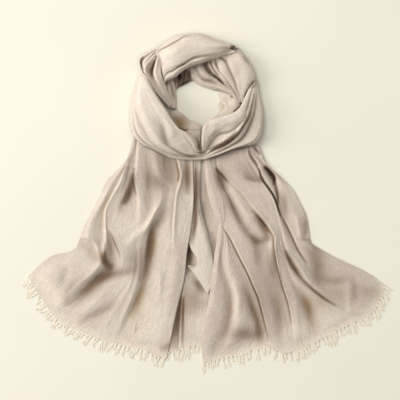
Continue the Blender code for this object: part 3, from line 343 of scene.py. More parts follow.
# Front of the wrap, from its outer foot to the edge of the neck opening; each fold runs anticlockwise
FRONT_WRAP = (
    soft("outer foot", (-120, 258, 3), (-129, 228, 3), (-137, 200, 3), (-140, 172, 3), (-139, 145, 4),
        (-128, 122, 10), (-112, 109, 12), (-90, 97, 12), (-66, 86, 12), (-40, 81, 12), (-10, 79.5, 12),
        (18, 82, 12), (42, 89, 12), (66, 99, 12), (90, 106, 12), (110, 114, 11), (122, 130, 8),
        (126, 152, 4), (127, 178, 3), (122, 206, 3), (115, 240, 3)),
    soft("outer band", (-118, 257, 12), (-127, 228, 15), (-134, 200, 17), (-137, 172, 18), (-135, 148, 20),
        (-125, 126, 22), (-109, 112, 21), (-88, 99.5, 20), (-65, 88.5, 19), (-40, 83.5, 18), (-10, 82, 17),
        (18, 84.5, 17), (41, 92, 19), (65, 102, 22), (88, 110, 24), (106, 119, 26), (117, 134, 26),
        (121, 154, 25), (122, 178, 22), (118, 206, 16), (114.5, 239, 8)),
    creased("outer crease", (-117, 257, 13), (-126, 228, 17), (-132, 200, 21), (-134, 175, 23),
        (-131, 150, 23), (-122, 127, 21), (-108, 113, 19), (-87, 101, 18), (-64, 90, 17), (-40, 85, 16),
        (-10, 83.5, 15), (14, 86.5, 16), (30, 93, 17), (46, 100, 19), (64, 109.5, 22), (80, 119, 24),
        (92, 134, 27), (100, 151, 28), (107, 169, 27), (110.5, 190, 23), (112.5, 212, 17), (114, 238, 8)),
    soft("second band", (-116, 256, 15), (-124, 228, 23), (-129, 202, 28), (-131, 178, 31), (-127, 153, 32),
        (-117, 130, 31), (-103, 116, 28), (-84, 103, 25), (-62, 92, 22), (-40, 87, 20), (-10, 85, 18),
        (12, 87.5, 18), (26, 94, 20), (44, 102, 24), (61, 112, 29), (76, 122, 32), (88, 137, 35),
        (96, 154, 36), (103, 172, 33), (107.5, 191, 28), (111, 213, 20), (113.5, 238, 9)),
    creased("second crease", (-115.5, 256, 15), (-122, 229, 24), (-128, 204, 30), (-130, 181, 33),
        (-122, 158, 33), (-112, 139, 31), (-102, 121, 28), (-97, 114, 27), (-80, 101, 23), (-60, 91.5, 20),
        (-40, 88, 18), (-10, 86, 16), (10, 88.5, 15), (24, 97, 17), (37, 103.5, 21), (52, 111, 26),
        (66, 121, 30), (77, 132, 33), (86, 147, 36), (95, 160, 36), (101, 176, 33), (105, 193, 28),
        (108.5, 214, 21), (113, 238, 9)),
    soft("great swell", (-115, 255, 17), (-118, 230, 33), (-118, 206, 43), (-112, 182, 49), (-104, 160, 50),
        (-95, 140, 47), (-82, 120, 43), (-66, 105, 38), (-50, 96, 33), (-34, 90.5, 28), (-10, 87.5, 21),
        (9, 90, 17), (20, 100, 21), (34, 110, 27), (50, 119, 34), (64, 127, 39), (76, 138, 42),
        (86, 152, 43), (93, 167, 42), (98, 183, 37), (103, 200, 30), (107.5, 218, 21), (112.5, 238, 9)),
    creased("brown trough", (-114.5, 254, 17), (-112, 232, 36), (-104, 208, 45), (-94, 186, 49),
        (-84, 166, 49), (-75, 148, 43), (-70, 130, 38), (-64, 110, 33), (-52, 101, 30), (-36, 92.5, 27),
        (-12, 88, 18), (8, 90, 14), (17, 107, 19), (30, 124.5, 27), (42, 132, 32), (54, 134, 35),
        (66, 140, 37), (78, 150, 38), (89, 161, 39), (94, 178, 35), (98, 195, 29), (103, 214, 22),
        (112, 237, 9)),
    soft("inner swell", (-114, 253, 17), (-108, 233, 38), (-98, 210, 47), (-86, 190, 51), (-74, 172, 51),
        (-63, 154, 49), (-54, 138, 47), (-46, 122, 40), (-38, 108, 34), (-26, 98, 27), (-10, 91, 22),
        (7, 92, 16), (14, 110, 31), (22, 132, 42), (34, 146, 43), (50, 153, 44), (66, 158, 45),
        (80, 168, 43), (89, 184, 39), (95, 200, 32), (102, 218, 23), (111.5, 237, 9)),
    creased("roll crease", (-113, 252, 17), (-105, 234, 38), (-94, 212, 47), (-82, 193, 51), (-70, 175, 51),
        (-58, 156, 48), (-46, 141, 45), (-35, 132, 42), (-26, 120, 38), (-18, 109, 32), (-11, 96, 24),
        (5, 93.5, 15), (11, 104, 27), (14, 124, 40.5), (20, 142, 43), (36, 155, 44), (56, 162, 44),
        (73, 171, 43), (85, 186, 39), (92.5, 201, 32), (101, 219, 23), (111, 237, 9)),
    soft("lip", (-112, 252, 17), (-103, 235, 36), (-91.5, 212.5, 46), (-79.5, 194, 50), (-67.5, 176, 51),
        (-55, 157, 48), (-42, 142, 46.5), (-30, 135, 45), (-19, 123, 40), (-11, 110, 34), (-6, 98, 26),
        (4, 95, 16), (5.5, 112, 34), (6, 130, 42), (9, 146, 44), (24, 159, 40), (46, 166, 41),
        (66, 173, 40), (82, 187, 37), (90, 202, 31), (99, 219.5, 22), (110, 236, 9)),
    creased("neck edge", (-111, 251, 14), (-100, 235, 26), (-88, 212, 34), (-76, 194, 37), (-64, 175, 38),
        (-52, 155, 36), (-40, 140, 33), (-27, 135, 31), (-14, 125, 29), (-7, 114, 26), (-3, 101, 18),
        (3, 97, 10), (2, 112, 20), (3, 130, 25), (6, 146, 28), (21, 160, 29), (42, 164, 29), (62, 170, 29),
        (78, 183, 29), (86, 198, 26), (97, 220, 19), (108.5, 234, 8)),
)

# Band over the nape, from its outer foot to the edge of the neck opening; each fold runs left to right
NAPE_BAND = (
    soft("outer foot", (-84, 303, 4), (-72, 315, 3), (-50, 328, 3), (-25, 333, 3), (-10, 334, 3),
        (5, 332, 3), (28, 323, 3), (50, 316, 3), (68, 310, 3), (77, 304, 3)),
    soft("shoulder", (-88, 299, 18), (-70, 309, 22), (-48, 320, 24), (-22, 329, 24), (-8, 330, 24),
        (8, 327, 24), (28, 319, 23), (48, 313, 19), (63, 308, 14), (72, 304, 8)),
    creased("upper crease", (-88, 290, 22), (-79, 299, 23), (-62, 307.5, 25), (-48, 315.5, 26),
        (-28, 326, 26), (-8, 328, 28), (10, 324, 29), (28, 317, 28), (46, 311, 22), (61, 306, 16),
        (71, 303, 9)),
    soft("upper ridge", (-83, 284, 26), (-74, 294, 31), (-58, 304, 32), (-42, 312, 33), (-24, 323, 32),
        (-6, 322, 34), (12, 318, 36), (28, 313, 36), (46, 309, 32), (60, 305, 22), (71, 302.5, 9)),
    soft("crest", (-79, 272, 27), (-71, 281, 37), (-56, 290, 43), (-36, 298, 45), (-18, 305, 45),
        (2, 307, 45), (18, 306, 44), (34, 305, 41), (48, 305, 35), (60, 304, 23), (70, 302, 10)),
    soft("face", (-75, 254, 26), (-71, 260, 35), (-65, 264, 39), (-54, 266.5, 42), (-40, 272, 43),
        (-26, 279.5, 43), (-12, 286, 43), (4, 290, 42), (20, 294, 40), (36, 298, 37), (48, 300.5, 32),
        (60, 302.8, 21), (70, 301.3, 10)),
    creased("lip dip", (-72, 241, 24), (-68.5, 249, 31), (-63, 253.5, 34), (-55, 256, 36), (-42, 264, 37),
        (-28, 271.5, 37), (-14, 280.5, 37), (2, 284.5, 38.5), (18, 287.5, 38.5), (34, 292, 36.5),
        (48, 298, 32), (60, 302.5, 18), (70, 301, 9)),
    soft("second lip", (-71, 238, 24), (-66, 244.5, 31), (-55, 249.5, 36), (-43, 259, 39), (-31, 266.5, 39),
        (-18, 273.5, 39), (-2, 277.5, 38.5), (14, 282.5, 36), (32, 288, 33), (47, 294.5, 26), (60, 298, 18),
        (71, 299, 10)),
    soft("under lip", (-70.5, 236, 22), (-62.5, 241.5, 29), (-51.5, 246, 33), (-39.5, 256, 34),
        (-27.5, 264, 34), (-14, 270.5, 31), (2, 274.5, 30), (16, 280, 29), (33, 285, 26), (48, 291, 21),
        (60, 295, 15), (71, 298, 9)),
    soft("neck edge", (-70, 234.5, 15), (-61, 239.5, 18), (-49.5, 244, 19), (-37.5, 254, 20),
        (-26, 262, 20), (-12, 267.5, 20), (3, 272, 19), (18, 277.5, 18), (34, 282, 16), (49, 288, 14),
        (62, 292, 11), (73, 296, 7)),
)

# Folds that turn over the left shoulder and run down inside the wrap, from the outer foot inwards
SHOULDER_FOLDS = (
    soft("outer foot", (-76, 311, 4), (-88, 304, 3), (-100, 300, 3), (-111, 293, 3), (-123, 287, 3),
        (-121, 275, 3), (-117, 260, 3), (-108, 242, 3), (-92, 212, 3), (-64, 183, 3)),
    soft("outer ridge", (-76, 308, 12), (-88, 301, 16), (-99, 296, 17), (-109, 290, 15), (-119, 284, 11),
        (-119, 274, 10), (-115.5, 260, 12), (-106, 241, 14), (-90, 212, 18), (-63, 183.5, 10)),
    creased("notch", (-76, 306, 13), (-88, 299, 14), (-99, 292.5, 14), (-107, 286, 9), (-114, 281, 6),
        (-116.5, 272, 5), (-114, 259, 12), (-104.5, 240.5, 20), (-88, 212.5, 24), (-62, 183.5, 12)),
    soft("first strip", (-76, 305, 15), (-87, 298, 20), (-97, 291, 21), (-104, 284, 20), (-110, 277, 18),
        (-113, 269, 17), (-112, 257, 22), (-102, 239.5, 28), (-85.5, 212.5, 30), (-60.5, 184, 15)),
    creased("fine groove", (-76, 304, 15), (-86, 296, 18.5), (-94.5, 288, 19), (-101.5, 280.5, 18.5),
        (-107.5, 273.5, 17.5), (-111, 267, 18), (-110, 256.5, 23), (-100, 238.5, 28), (-83.5, 212.5, 30),
        (-59.5, 184, 15)),
    soft("second strip", (-76, 303, 16), (-85, 294.5, 20), (-92.5, 286, 21), (-99, 278.5, 20),
        (-104.5, 271.5, 20), (-108.5, 264.5, 21), (-108, 255.5, 25), (-98.5, 237.5, 30), (-82, 212.5, 31),
        (-58.5, 184, 15)),
    creased("strip side", (-76, 302.2, 16), (-84.2, 293, 18.5), (-90.5, 284, 18), (-96, 276, 17),
        (-101, 268.5, 16), (-105, 261, 17), (-104, 252.5, 20), (-95, 236.5, 25), (-79.5, 212, 27),
        (-57.5, 184, 14)),
    soft("pocket", (-76, 301.5, 16), (-83.5, 291.5, 18), (-89, 282, 16), (-93.5, 273.5, 14),
        (-97.5, 265.5, 13), (-100.5, 258, 13), (-99.5, 250, 16), (-92, 235.5, 22), (-77.5, 212, 25),
        (-56.8, 184, 13)),
    soft("black gap", (-75.8, 301, 16), (-83, 290.5, 17), (-88, 281, 12), (-91, 272.5, 7), (-93.5, 264, 5),
        (-95.5, 255, 5), (-95, 247, 12), (-88.5, 234.5, 21), (-75.5, 211.5, 24), (-56, 184, 13)),
    soft("gap wall", (-75.6, 300.5, 17), (-82.2, 290, 21), (-86.2, 280.5, 22), (-88.8, 272, 22),
        (-91, 263.5, 22), (-93, 255, 20), (-92, 246.5, 21), (-86, 234, 25), (-73.5, 211.5, 26),
        (-55.5, 184, 13)),
    soft("third ridge", (-75, 300, 18), (-81, 289.5, 24), (-84.5, 280, 27), (-86.5, 271, 28),
        (-88, 262, 28), (-89, 253, 27), (-87.5, 245, 27), (-82, 233, 27), (-70.5, 211, 25),
        (-55, 183.5, 13)),
    creased("grey groove", (-74.3, 299, 18), (-79.5, 289, 24), (-81.5, 280, 25.5), (-81.5, 271.5, 25.5),
        (-81, 262.5, 25.5), (-80, 253.5, 25), (-77.5, 244, 23.5), (-73.5, 231.5, 22), (-65, 209.5, 21),
        (-54, 183.5, 12)),
    soft("fourth ridge", (-73.5, 298, 19), (-78.2, 288.5, 25), (-79.2, 280, 26.5), (-78.8, 271.5, 26.5),
        (-78, 262.5, 26.5), (-76.8, 253.5, 25.5), (-74, 243.5, 22), (-70, 230.5, 20), (-62.5, 208.5, 19),
        (-53.3, 183.3, 12)),
    creased("black crease", (-72, 296, 16), (-76.5, 287, 20), (-76.5, 279, 20), (-76, 271, 20),
        (-75, 262, 18), (-73.5, 253, 14), (-70, 243, 9), (-66.8, 229.5, 8), (-60, 207.5, 13),
        (-52.3, 183, 10)),
    soft("inner strip", (-70, 292, 16), (-73.5, 284, 19), (-73.5, 277, 19), (-73, 269, 18), (-72, 260, 15),
        (-70, 251, 10), (-66, 241.5, 5), (-63.5, 229, 9), (-57.5, 206, 14), (-51, 183.5, 10)),
    soft("inner groove", (-67, 289, 10), (-70, 281, 10), (-70, 274, 10), (-69, 266, 10), (-67, 257, 8),
        (-64, 248, 6), (-61, 240, 5), (-59, 228, 7), (-54.5, 205, 9), (-49.8, 184, 8)),
    soft("neck edge", (-62, 286, 6), (-64, 278, 5), (-64, 270, 4), (-62, 261, 4), (-58, 251, 3),
        (-55, 242, 2), (-52.5, 235, 2), (-49.5, 222, 2), (-47, 203, 2), (-47, 182, 2)),
)

# Gathered stretch at the right of the neck opening, from the opening outwards; each fold runs to the tip
RIGHT_GATHER = (
    soft("neck edge", (-20, 266, 3), (-16, 245, 2), (-6, 233, 2), (10, 225, 2), (28, 219.5, 2),
        (48, 215, 2), (66, 206, 3), (80, 190, 7)),
    soft("lower swell", (-17, 269, 7), (-9, 249, 9), (2, 238, 9), (18, 229.5, 9), (34, 225.5, 8),
        (52, 219, 8), (68, 207, 8), (80.5, 189.5, 8)),
    soft("red groove", (-14, 271, 8), (-4, 253, 8), (8, 240, 4), (22, 236.5, 3.5), (37, 230, 6),
        (54, 220.5, 7), (69, 207, 8), (81, 189.5, 8)),
    soft("lump", (-8, 274, 15), (2, 256, 16), (14, 245, 14), (27, 240, 12), (41, 232, 11), (56, 221, 10),
        (70, 207.5, 9), (81.5, 189, 9)),
    soft("lump side", (2, 277, 13), (8, 262, 12), (18, 250, 11), (31, 241.5, 11), (43.5, 232.5, 10),
        (58, 221, 10), (71, 207.5, 9), (82, 189, 9)),
    soft("dark trough", (9, 280, 4), (14, 264, 2.5), (23, 252, 2), (34, 244, 2.5), (45, 234, 4),
        (59, 221.5, 9), (72, 207, 9), (82, 188.5, 9)),
    creased("first pleat", (16, 281, 13), (20, 266, 16), (28, 254, 17), (38, 245, 18), (48, 235, 17),
        (60.5, 222, 14), (73, 207, 11), (82.5, 188.5, 9)),
    creased("first pleat line", (20, 282, 9), (24, 267, 11), (31, 255, 13), (40, 246.5, 15), (50, 236, 15),
        (62, 222.5, 13), (74, 206.5, 11), (82.5, 188.5, 9)),
    creased("second pleat", (24, 283, 15), (28, 267.5, 19), (35, 256, 20), (43, 248, 20), (52, 237, 18),
        (63, 223, 15), (74.5, 206, 12), (83, 188, 9)),
    creased("second pleat line", (30, 284, 9), (33, 269, 13), (38.5, 257, 17), (46, 249, 18), (54, 238, 16),
        (64.5, 223.5, 14), (75, 205.5, 12), (83, 188, 9)),
    soft("bright panel", (36, 285, 10), (40, 273, 19), (45, 260, 23), (51, 250, 23), (58, 239, 21),
        (67, 224, 18), (76, 205.5, 13), (83.5, 188, 10)),
    soft("panel side", (44, 287, 8), (48, 276, 18), (53, 262, 22), (58, 250, 22), (63, 239, 21),
        (70, 224, 18), (77.5, 206, 13), (84, 188, 10)),
    creased("long crease", (48, 288.5, 7), (52.5, 276, 14), (58, 262, 17), (64, 249, 18), (68.5, 238, 17),
        (73.5, 222.5, 15), (80, 207, 12), (84.5, 188.5, 9)),
    soft("long crease side", (52, 290, 13), (56, 277, 19), (62, 262, 22), (67.5, 249, 22), (72, 238, 20),
        (76, 223, 17), (81.5, 207.5, 13), (85, 189, 9)),
    soft("panel middle", (62, 294, 16), (68, 278, 24), (75, 262, 27), (79, 248, 26), (81.5, 236, 23),
        (82.5, 222, 18), (84, 207.5, 14), (85.5, 189.5, 9)),
    soft("panel crest", (70, 298, 17), (80, 282, 28), (88, 266, 30), (93, 250, 29), (94, 236, 26),
        (90, 221, 20), (88, 208, 14), (86.5, 190.5, 9)),
    soft("shoulder", (75, 300, 13), (87, 285.5, 24), (97, 268.5, 27), (103.5, 252, 26), (105, 238, 22),
        (99.5, 221, 14), (93, 208, 8), (88, 193, 7)),
    soft("outer foot", (79, 303, 3), (91, 288, 3), (103, 270, 3), (110, 253, 3), (111.5, 240, 3),
        (105, 222, 3), (98, 208, 3), (91, 196, 3)),
)

# Sheer single layers inside the neck opening
RIGHT_WING = (
    soft("neck edge", (40, 223, 1.5), (37, 210, 1.5), (40, 200, 1.5), (36, 190, 1.5), (38, 178, 1.5),
        (28, 166, 1.5), (16, 158, 1.5)),
    soft("swell", (50, 222, 3), (50, 208, 4), (54, 198, 3), (52, 186, 4), (50, 174, 4), (42, 164, 3),
        (26, 155, 2)),
    soft("rise", (62, 218, 4), (66, 206, 5), (70, 196, 6), (69, 184, 6), (62, 172, 5), (50, 162, 3),
        (34, 153, 2)),
    soft("hidden edge", (70, 214, 2), (79, 203, 3), (84, 192, 3), (82, 180, 3), (72, 168, 2), (56, 159, 2),
        (40, 152, 2)),
)
FRONT_WING = (
    soft("neck edge", (-50, 181, 2), (-34, 172, 2), (-20, 160, 2), (-2, 153, 3), (4, 144, 5), (3, 126, 6),
        (1, 106, 6)),
    soft("pink lip", (-52, 180, 4), (-39, 166, 5), (-26, 152, 7), (-12, 145, 10), (-1, 140, 12),
        (0, 124, 12), (-1, 106, 8)),
    creased("swell", (-56, 178, 6), (-46, 160, 8), (-31, 145, 10), (-15, 138, 12), (-6, 133, 14),
        (-3, 122, 12), (-2, 106, 9)),
    soft("hidden edge", (-64, 172, 3), (-71, 150, 9.5), (-56, 127, 9.8), (-34, 116, 9.8), (-20, 114, 9.5),
        (-13, 112, 9), (-6, 104, 8)),
)
BACK_GATHER = (
    soft("left edge", (-48, 221, 2), (-52, 233, 4), (-54, 246, 7), (-52, 262, 8)),
    soft("first ridge", (-44, 224, 3), (-46, 235, 8), (-46, 247, 12), (-44, 262, 12)),
    creased("black fold", (-41, 226, 2), (-41, 237, 3), (-41, 248, 3), (-39, 263, 5)),
    soft("second ridge", (-37, 228, 4), (-36, 239, 10), (-36, 250, 13), (-34, 264, 12)),
    creased("inner fold", (-33, 230, 3), (-32, 241, 5), (-32, 252, 6), (-30, 266, 7)),
    soft("third ridge", (-29, 232, 4), (-28, 243, 10), (-27, 254, 13), (-25, 268, 12)),
    creased("black side", (-23, 235, 2), (-22, 246, 2.5), (-22, 256, 3), (-21, 269, 5)),
    soft("right edge", (-13, 239, 2), (-16, 248, 5), (-18, 258, 7), (-17, 270, 8)),
)

# Small ridges and troughs on each stretch, in the frame of the fold tables. A mark has a height, a depth of
# painted shade, a thinness that lightens the cloth, for thinner cloth and for painted highlights along
# ridges, a width to each side of its line, and the points of that line. A crease has a depth of painted
# shade, a width and its points
LEFT_TAIL_MARKS = (
    # painted shadow of the wrap's edge on the tail
    mark(0, 0.2, 0, 9, 14, (-112, 104), (-84, 88), (-54, 78), (-20, 72)),
    mark(0, 1.0, 0.2, 8, 7, (-27, 92), (-26, 62), (-25, 36), (-25, 8)),
    mark(3, 0, 0.2, 3, 3, (-44, 84), (-36.5, 54), (-39, 32), (-46, 12), (-50, -30), (-53, -88)),
    mark(0, 0.9, 0, 1.5, 3, (-49, 84), (-44, 62), (-42, 50), (-44, 36)),
    mark(0, 0.45, 0, 1.5, 4, (-43, 44), (-50, 12), (-55, -24), (-57, -80)),
    crease(0.45, 16, (-104, 66), (-94, 42), (-72, 32), (-46, 22)),
    mark(0, 0.15, 0.5, 14, 16, (-92, -56), (-96, -96), (-94, -130)),
    mark(2, 0, 0, 12, 2, (-154, 66), (-142, 67), (-129, 65)),
    mark(-1, 0.15, 0, 2, 2, (-145, 82), (-138, 77), (-129, 77)),
    mark(0, 0.9, 0, 3, 2, (-127, 8), (-131, 26), (-133, 46), (-130, 66)),
    mark(0, 1.3, 0.2, 7, 7, (-134, 56), (-138, 30), (-144, 6), (-152, -12)),
    mark(0, 0.15, 0.9, 14, 10, (-160, 40), (-192, -12), (-204, -50), (-199, -90)),
    mark(0, 0.7, 0.3, 3, 2, (-190, -84), (-190, -100), (-190, -116)),
    mark(0.8, 0, 0.3, 3, 3, (-151, 60), (-160, 34), (-176, 6), (-188, -20), (-189, -46), (-187, -72)),
    mark(0, 0.45, 0.4, 9, 9, (-182, -66), (-176, -98), (-172, -124)),
    mark(0, 0.8, 0, 2, 2.5, (-181, -60), (-170, -86), (-158, -114)),
    mark(0, 1.15, 0.3, 15, 9, (-156, -108), (-180, -138), (-200, -155), (-220, -172), (-246, -196),
        (-270, -218)),
    mark(-4, 0.2, 0.5, 12, 12, (-236, -76), (-220, -98), (-206, -118), (-192, -140)),
    mark(0, 1.4, 0.2, 8, 8, (-198, -98), (-190, -122), (-174, -140)),
    mark(4, 0, 0, 4, 4, (-242, -74), (-224, -76), (-209, -86), (-203, -102), (-201, -118)),
    crease(0.4, 7, (-105, 110), (-105, 60), (-104, 20), (-98, -40)),
    crease(0.3, 26, (-92, 104), (-92, 50), (-90, -20)),
    mark(2.5, 0, 0, 6, 6, (-90, 78), (-82, 56), (-68, 38), (-50, 22)),
    mark(-2, 0.6, 0.2, 15, 10, (-74, 100), (-66, 74), (-56, 52), (-46, 26)),
    # a ridge, with a painted highlight along it
    mark(3, 0, 0.8, 6, 8, (-84, -4), (-98, -40), (-122, -68), (-152, -94)),
    crease(0.3, 9, (-64, 0), (-74, -32), (-86, -60)),
    mark(0, 1.5, 0.12, 13, 5, (-86, -26), (-95, -52), (-101, -80), (-105, -110), (-109, -165)),
    crease(0.65, 16, (-136, -80), (-130, -120), (-122, -170)),
    mark(0, 0.8, 0, 9, 3, (-146, 30), (-151, 8), (-159, -10), (-164, -30)),
    crease(0.25, 9, (-40, -46), (-39, -110), (-40, -150), (-43, -200), (-46, -260)),
    mark(0, 0.8, 0.8, 12, 6, (-108, -126), (-114, -168), (-128, -204), (-146, -244)),
    mark(0, 0.1, 0.3, 18, 18, (-58, -10), (-68, -74), (-72, -130)),
    mark(0, 0.25, 0.3, 11, 11, (-34, 84), (-35, 30), (-40, -30)),
    mark(0, 0.25, 0.6, 20, 22, (-108, -176), (-122, -225), (-146, -290)),
    mark(0, 0, 1.0, 34, 34, (-104, -174), (-118, -252), (-128, -330)),
    mark(-2, 0.4, 0, 9, 9, (-156, -200), (-196, -223), (-248, -247)),
    mark(-2, 0.55, 0, 9, 9, (-124, -140), (-166, -148), (-212, -160)),
    mark(1.5, 0, 0, 5, 5, (-79, -142), (-79, -170), (-80, -204)),
    mark(1, 0.4, 0, 1.5, 1.5, (-127, -246), (-129, -256), (-131, -267)),
    mark(-2, 0.4, 0, 9, 9, (-228, -152), (-252, -170), (-266, -194), (-262, -214)),
    mark(-2, 0.2, 0, 9, 9, (-266, -130), (-272, -156), (-278, -184)),
    mark(0, 0, 1.0, 30, 30, (-350, -130), (-310, -180), (-256, -244)),
    mark(0, 1.0, 0, 3, 9, (-38, -200), (-43, -245), (-50, -296)),
    crease(0.6, 8, (-84, -300), (-62, -292), (-46, -274)),
)
RIGHT_TAIL_MARKS = (
    # painted shadow of the wrap's edge on the tail
    mark(0, 0.35, 0, 9, 12, (6, 74), (34, 80), (60, 88), (84, 98)),
    mark(0, 0, 0.9, 16, 22, (170, -286), (200, -256), (232, -238)),
    mark(0, 0.5, 0.1, 9, 9, (106, -62), (112, -92), (118, -138)),
    mark(0, 0.85, 0, 7, 9, (84, -160), (102, -210), (115, -248), (124, -296)),
    crease(0.75, 14, (44, -264), (88, -268), (136, -268)),
    crease(0.7, 8, (160, 24), (168, -6), (172, -38)),
    # painted highlight along the edge of the side lap, then the painted shadow under it
    mark(1.2, 0, 0.6, 2.5, 1.6, (44, -48), (62, -74), (74, -98), (86, -122), (99, -148), (108, -170),
        (119, -195), (126, -220)),
    mark(0, 1.3, 0, 1.8, 1.5, (42, -50), (58, -75), (70, -99), (82, -123), (95, -149), (104.5, -171),
        (115.5, -196), (122, -220), (130, -252), (137, -284)),
    mark(0, 0.15, 0.3, 13, 7, (98, -160), (112, -208), (118, -244), (118, -296)),
    crease(0.9, 2.5, (30, 65), (38, 56), (48, 45), (58, 34)),
    crease(0.45, 2, (60, 32), (80, 14), (98, -6)),
    mark(0, 1.2, 0, 1.5, 2.5, (102, -18), (124, -42), (146, -72)),
    crease(1.5, 1.6, (148, -68), (147.5, -88), (151, -118), (157, -146), (166, -178), (175, -206),
        (183, -250)),
    mark(0, 0.12, 0, 1.5, 15, (145, -84), (149, -118), (155, -146), (164, -178), (173, -206)),
    # a ridge, with a painted highlight along it
    mark(1.5, 0, 0.3, 2.5, 2.5, (160, -84), (175, -101), (190, -120), (208, -146), (226, -176)),
    mark(0, 0.8, 0.3, 6, 6, (166, -100), (184, -130), (206, -156)),
    # painted highlight along the edge of the upper lap
    mark(1.2, 0, 0.6, 1.6, 2.5, (34, 62), (56, 42), (88, 10), (106, -12), (124, -32), (141, -54),
        (151, -73), (151, -100), (156, -127), (161, -155), (170, -178), (178, -202)),
    mark(0, 1.0, 0.1, 12, 11, (33, 74), (41, 42), (50, 14)),
    mark(0, 0.75, 0.1, 9, 8, (42, 34), (56, 6), (69, -24), (82, -46), (97, -66)),
    mark(0, 0.7, 0, 7, 8, (84, -50), (98, -70), (114, -82), (132, -80), (144, -70)),
    mark(0, 1.0, 0.2, 6, 9, (108, -28), (122, -46), (132, -64), (136, -84)),
    mark(2, 0, 0, 8, 8, (60, 24), (78, -4), (94, -32), (104, -54)),
    crease(0.2, 7, (104, -20), (120, -40), (134, -58)),
    crease(0.5, 12, (226, -128), (232, -156), (252, -182)),
    mark(-2, 0.6, 0, 12, 3, (84, 46), (108, 39), (134, 34)),
    crease(0.3, 20, (60, 84), (84, 64), (112, 42)),
    crease(1.1, 2.5, (98, 100), (104, 85), (116, 67)),
    crease(1.9, 2.2, (119, 64), (121, 46), (127, 36), (137, 23), (147, 8), (152, -4), (156, -16),
        (163, -34)),
    crease(1.4, 2, (164, -32), (174, -54), (182, -70), (195, -99), (214, -128)),
    mark(0, 1.9, 0, 5, 4, (127, 70), (138, 55), (149, 36)),
    mark(-1.5, 2, 0, 2.2, 2.2, (130, 66), (140, 57), (148, 47), (147, 28)),
    crease(1.3, 2.5, (149, 46), (151, 30), (154, 16), (156, 4), (155, -10)),
    mark(-3, 1.8, 0, 2.5, 2.5, (104, 118), (108, 113), (111, 108)),
    mark(-1.5, 1.2, 0, 2, 2, (107, 108), (114, 98), (121, 90)),
    crease(0.5, 7, (162, -86), (174, -106), (184, -124), (198, -152)),
    mark(0, 0.8, 0, 3, 2.5, (186, -132), (196, -148), (208, -162), (228, -181), (250, -198), (272, -211)),
    mark(-2, 0.8, 0, 18, 16, (222, -66), (230, -104), (238, -136), (256, -166)),
    crease(0.2, 26, (230, -110), (270, -150), (330, -178)),
    mark(-2, 0.3, 0, 9, 8, (232, -158), (270, -163), (310, -158)),
    mark(-2, 0.2, 0, 9, 8, (306, -144), (311, -176), (314, -212)),
    mark(1.5, 0, 0, 7, 7, (296, -160), (299, -200), (300, -234)),
    mark(-2, 0.3, 0, 6, 5, (211, -38), (211, -62), (210, -84)),
    mark(-1, 0.4, 0, 2, 2, (203, -80), (211, -80), (220, -80)),
    mark(2, 0, 0, 4, 4, (194, -32), (198, -56), (200, -78)),
    mark(-1, 0.8, 0.3, 11, 11, (184, -164), (206, -197), (216, -220), (228, -276)),
    mark(-1, 0.6, 0.3, 12, 12, (150, -160), (158, -210), (168, -276)),
    mark(1.5, 0, 0, 6, 6, (190, -200), (194, -235), (200, -280)),
    mark(0, 0.7, 0.3, 7, 12, (46, -140), (54, -164), (59, -190), (59, -225), (48, -268), (26, -316)),
    mark(0, 0.5, 0, 10, 7, (138, -90), (143, -130), (151, -180)),
    crease(0.45, 26, (98, -60), (116, -140), (134, -240), (142, -300)),
    # two ridges, with painted highlights along them
    mark(1.5, 0, 0.4, 7, 7, (70, -150), (76, -200), (70, -250)),
    mark(1.5, 0, 0.7, 5, 5, (138, -40), (142, -80), (143, -110), (148, -144)),
    mark(0, 0, 0.9, 24, 24, (196, -266), (262, -240), (336, -212)),
    mark(0, 0.5, 0.2, 9, 9, (208, 8), (215, -26), (218, -68)),
    mark(0, 0, 1.0, 13, 13, (150, 66), (172, 44), (190, 18), (208, -18), (219, -53), (221, -76)),
    mark(0, 0.4, 0.2, 20, 20, (226, -186), (264, -188), (310, -204)),
    mark(0, 0.4, 0.8, 20, 20, (204, -180), (232, -206), (264, -226)),
    crease(0.4, 16, (300, -182), (340, -184), (376, -190)),
)
MIDDLE_UPPER_MARKS = (
    crease(1.5, 5, (-9, 80), (-9, 50), (-9, 18), (-10, -10), (-9, -32), (-12, -62), (-17, -88)),
    crease(0.8, 6, (0, 60), (2, 10), (8, -30), (17, -62), (24, -96), (27, -122)),
    crease(0.8, 5, (-8, -120), (-14, -130), (-22, -133)),
)
MIDDLE_LOWER_MARKS = (
    mark(0, 0.45, 0.35, 10, 10, (8, 80), (10, 30), (13, -10), (20, -50), (24, -74)),
    crease(0.6, 6, (22, -60), (28, -90), (30, -124)),
    crease(1.0, 8, (2, 0), (3, -50), (6, -110)),
    crease(1.8, 5, (-12, 80), (-12, 10), (-8, -20), (-6, -44), (-13, -66), (-22, -90)),
    crease(1.9, 9, (-22, -36), (-22, -100), (-24, -156)),
    crease(0.85, 9, (-18, -148), (-4, -168), (10, -188)),
    mark(0, 0.55, 0.3, 18, 18, (-14, -160), (-10, -200), (-18, -240)),
    mark(0, 0.5, 0.4, 18, 18, (-28, -140), (-34, -190), (-38, -240), (-40, -290)),
    crease(0.8, 2, (-37, -180), (-42, -240), (-45, -306)),
    crease(0.7, 2, (-33, -190), (-34, -240), (-35, -296)),
    crease(1.0, 8, (-40, -190), (-50, -250), (-58, -306)),
    mark(0, 0, 0.9, 14, 14, (10, -205), (2, -250), (-6, -300)),
)
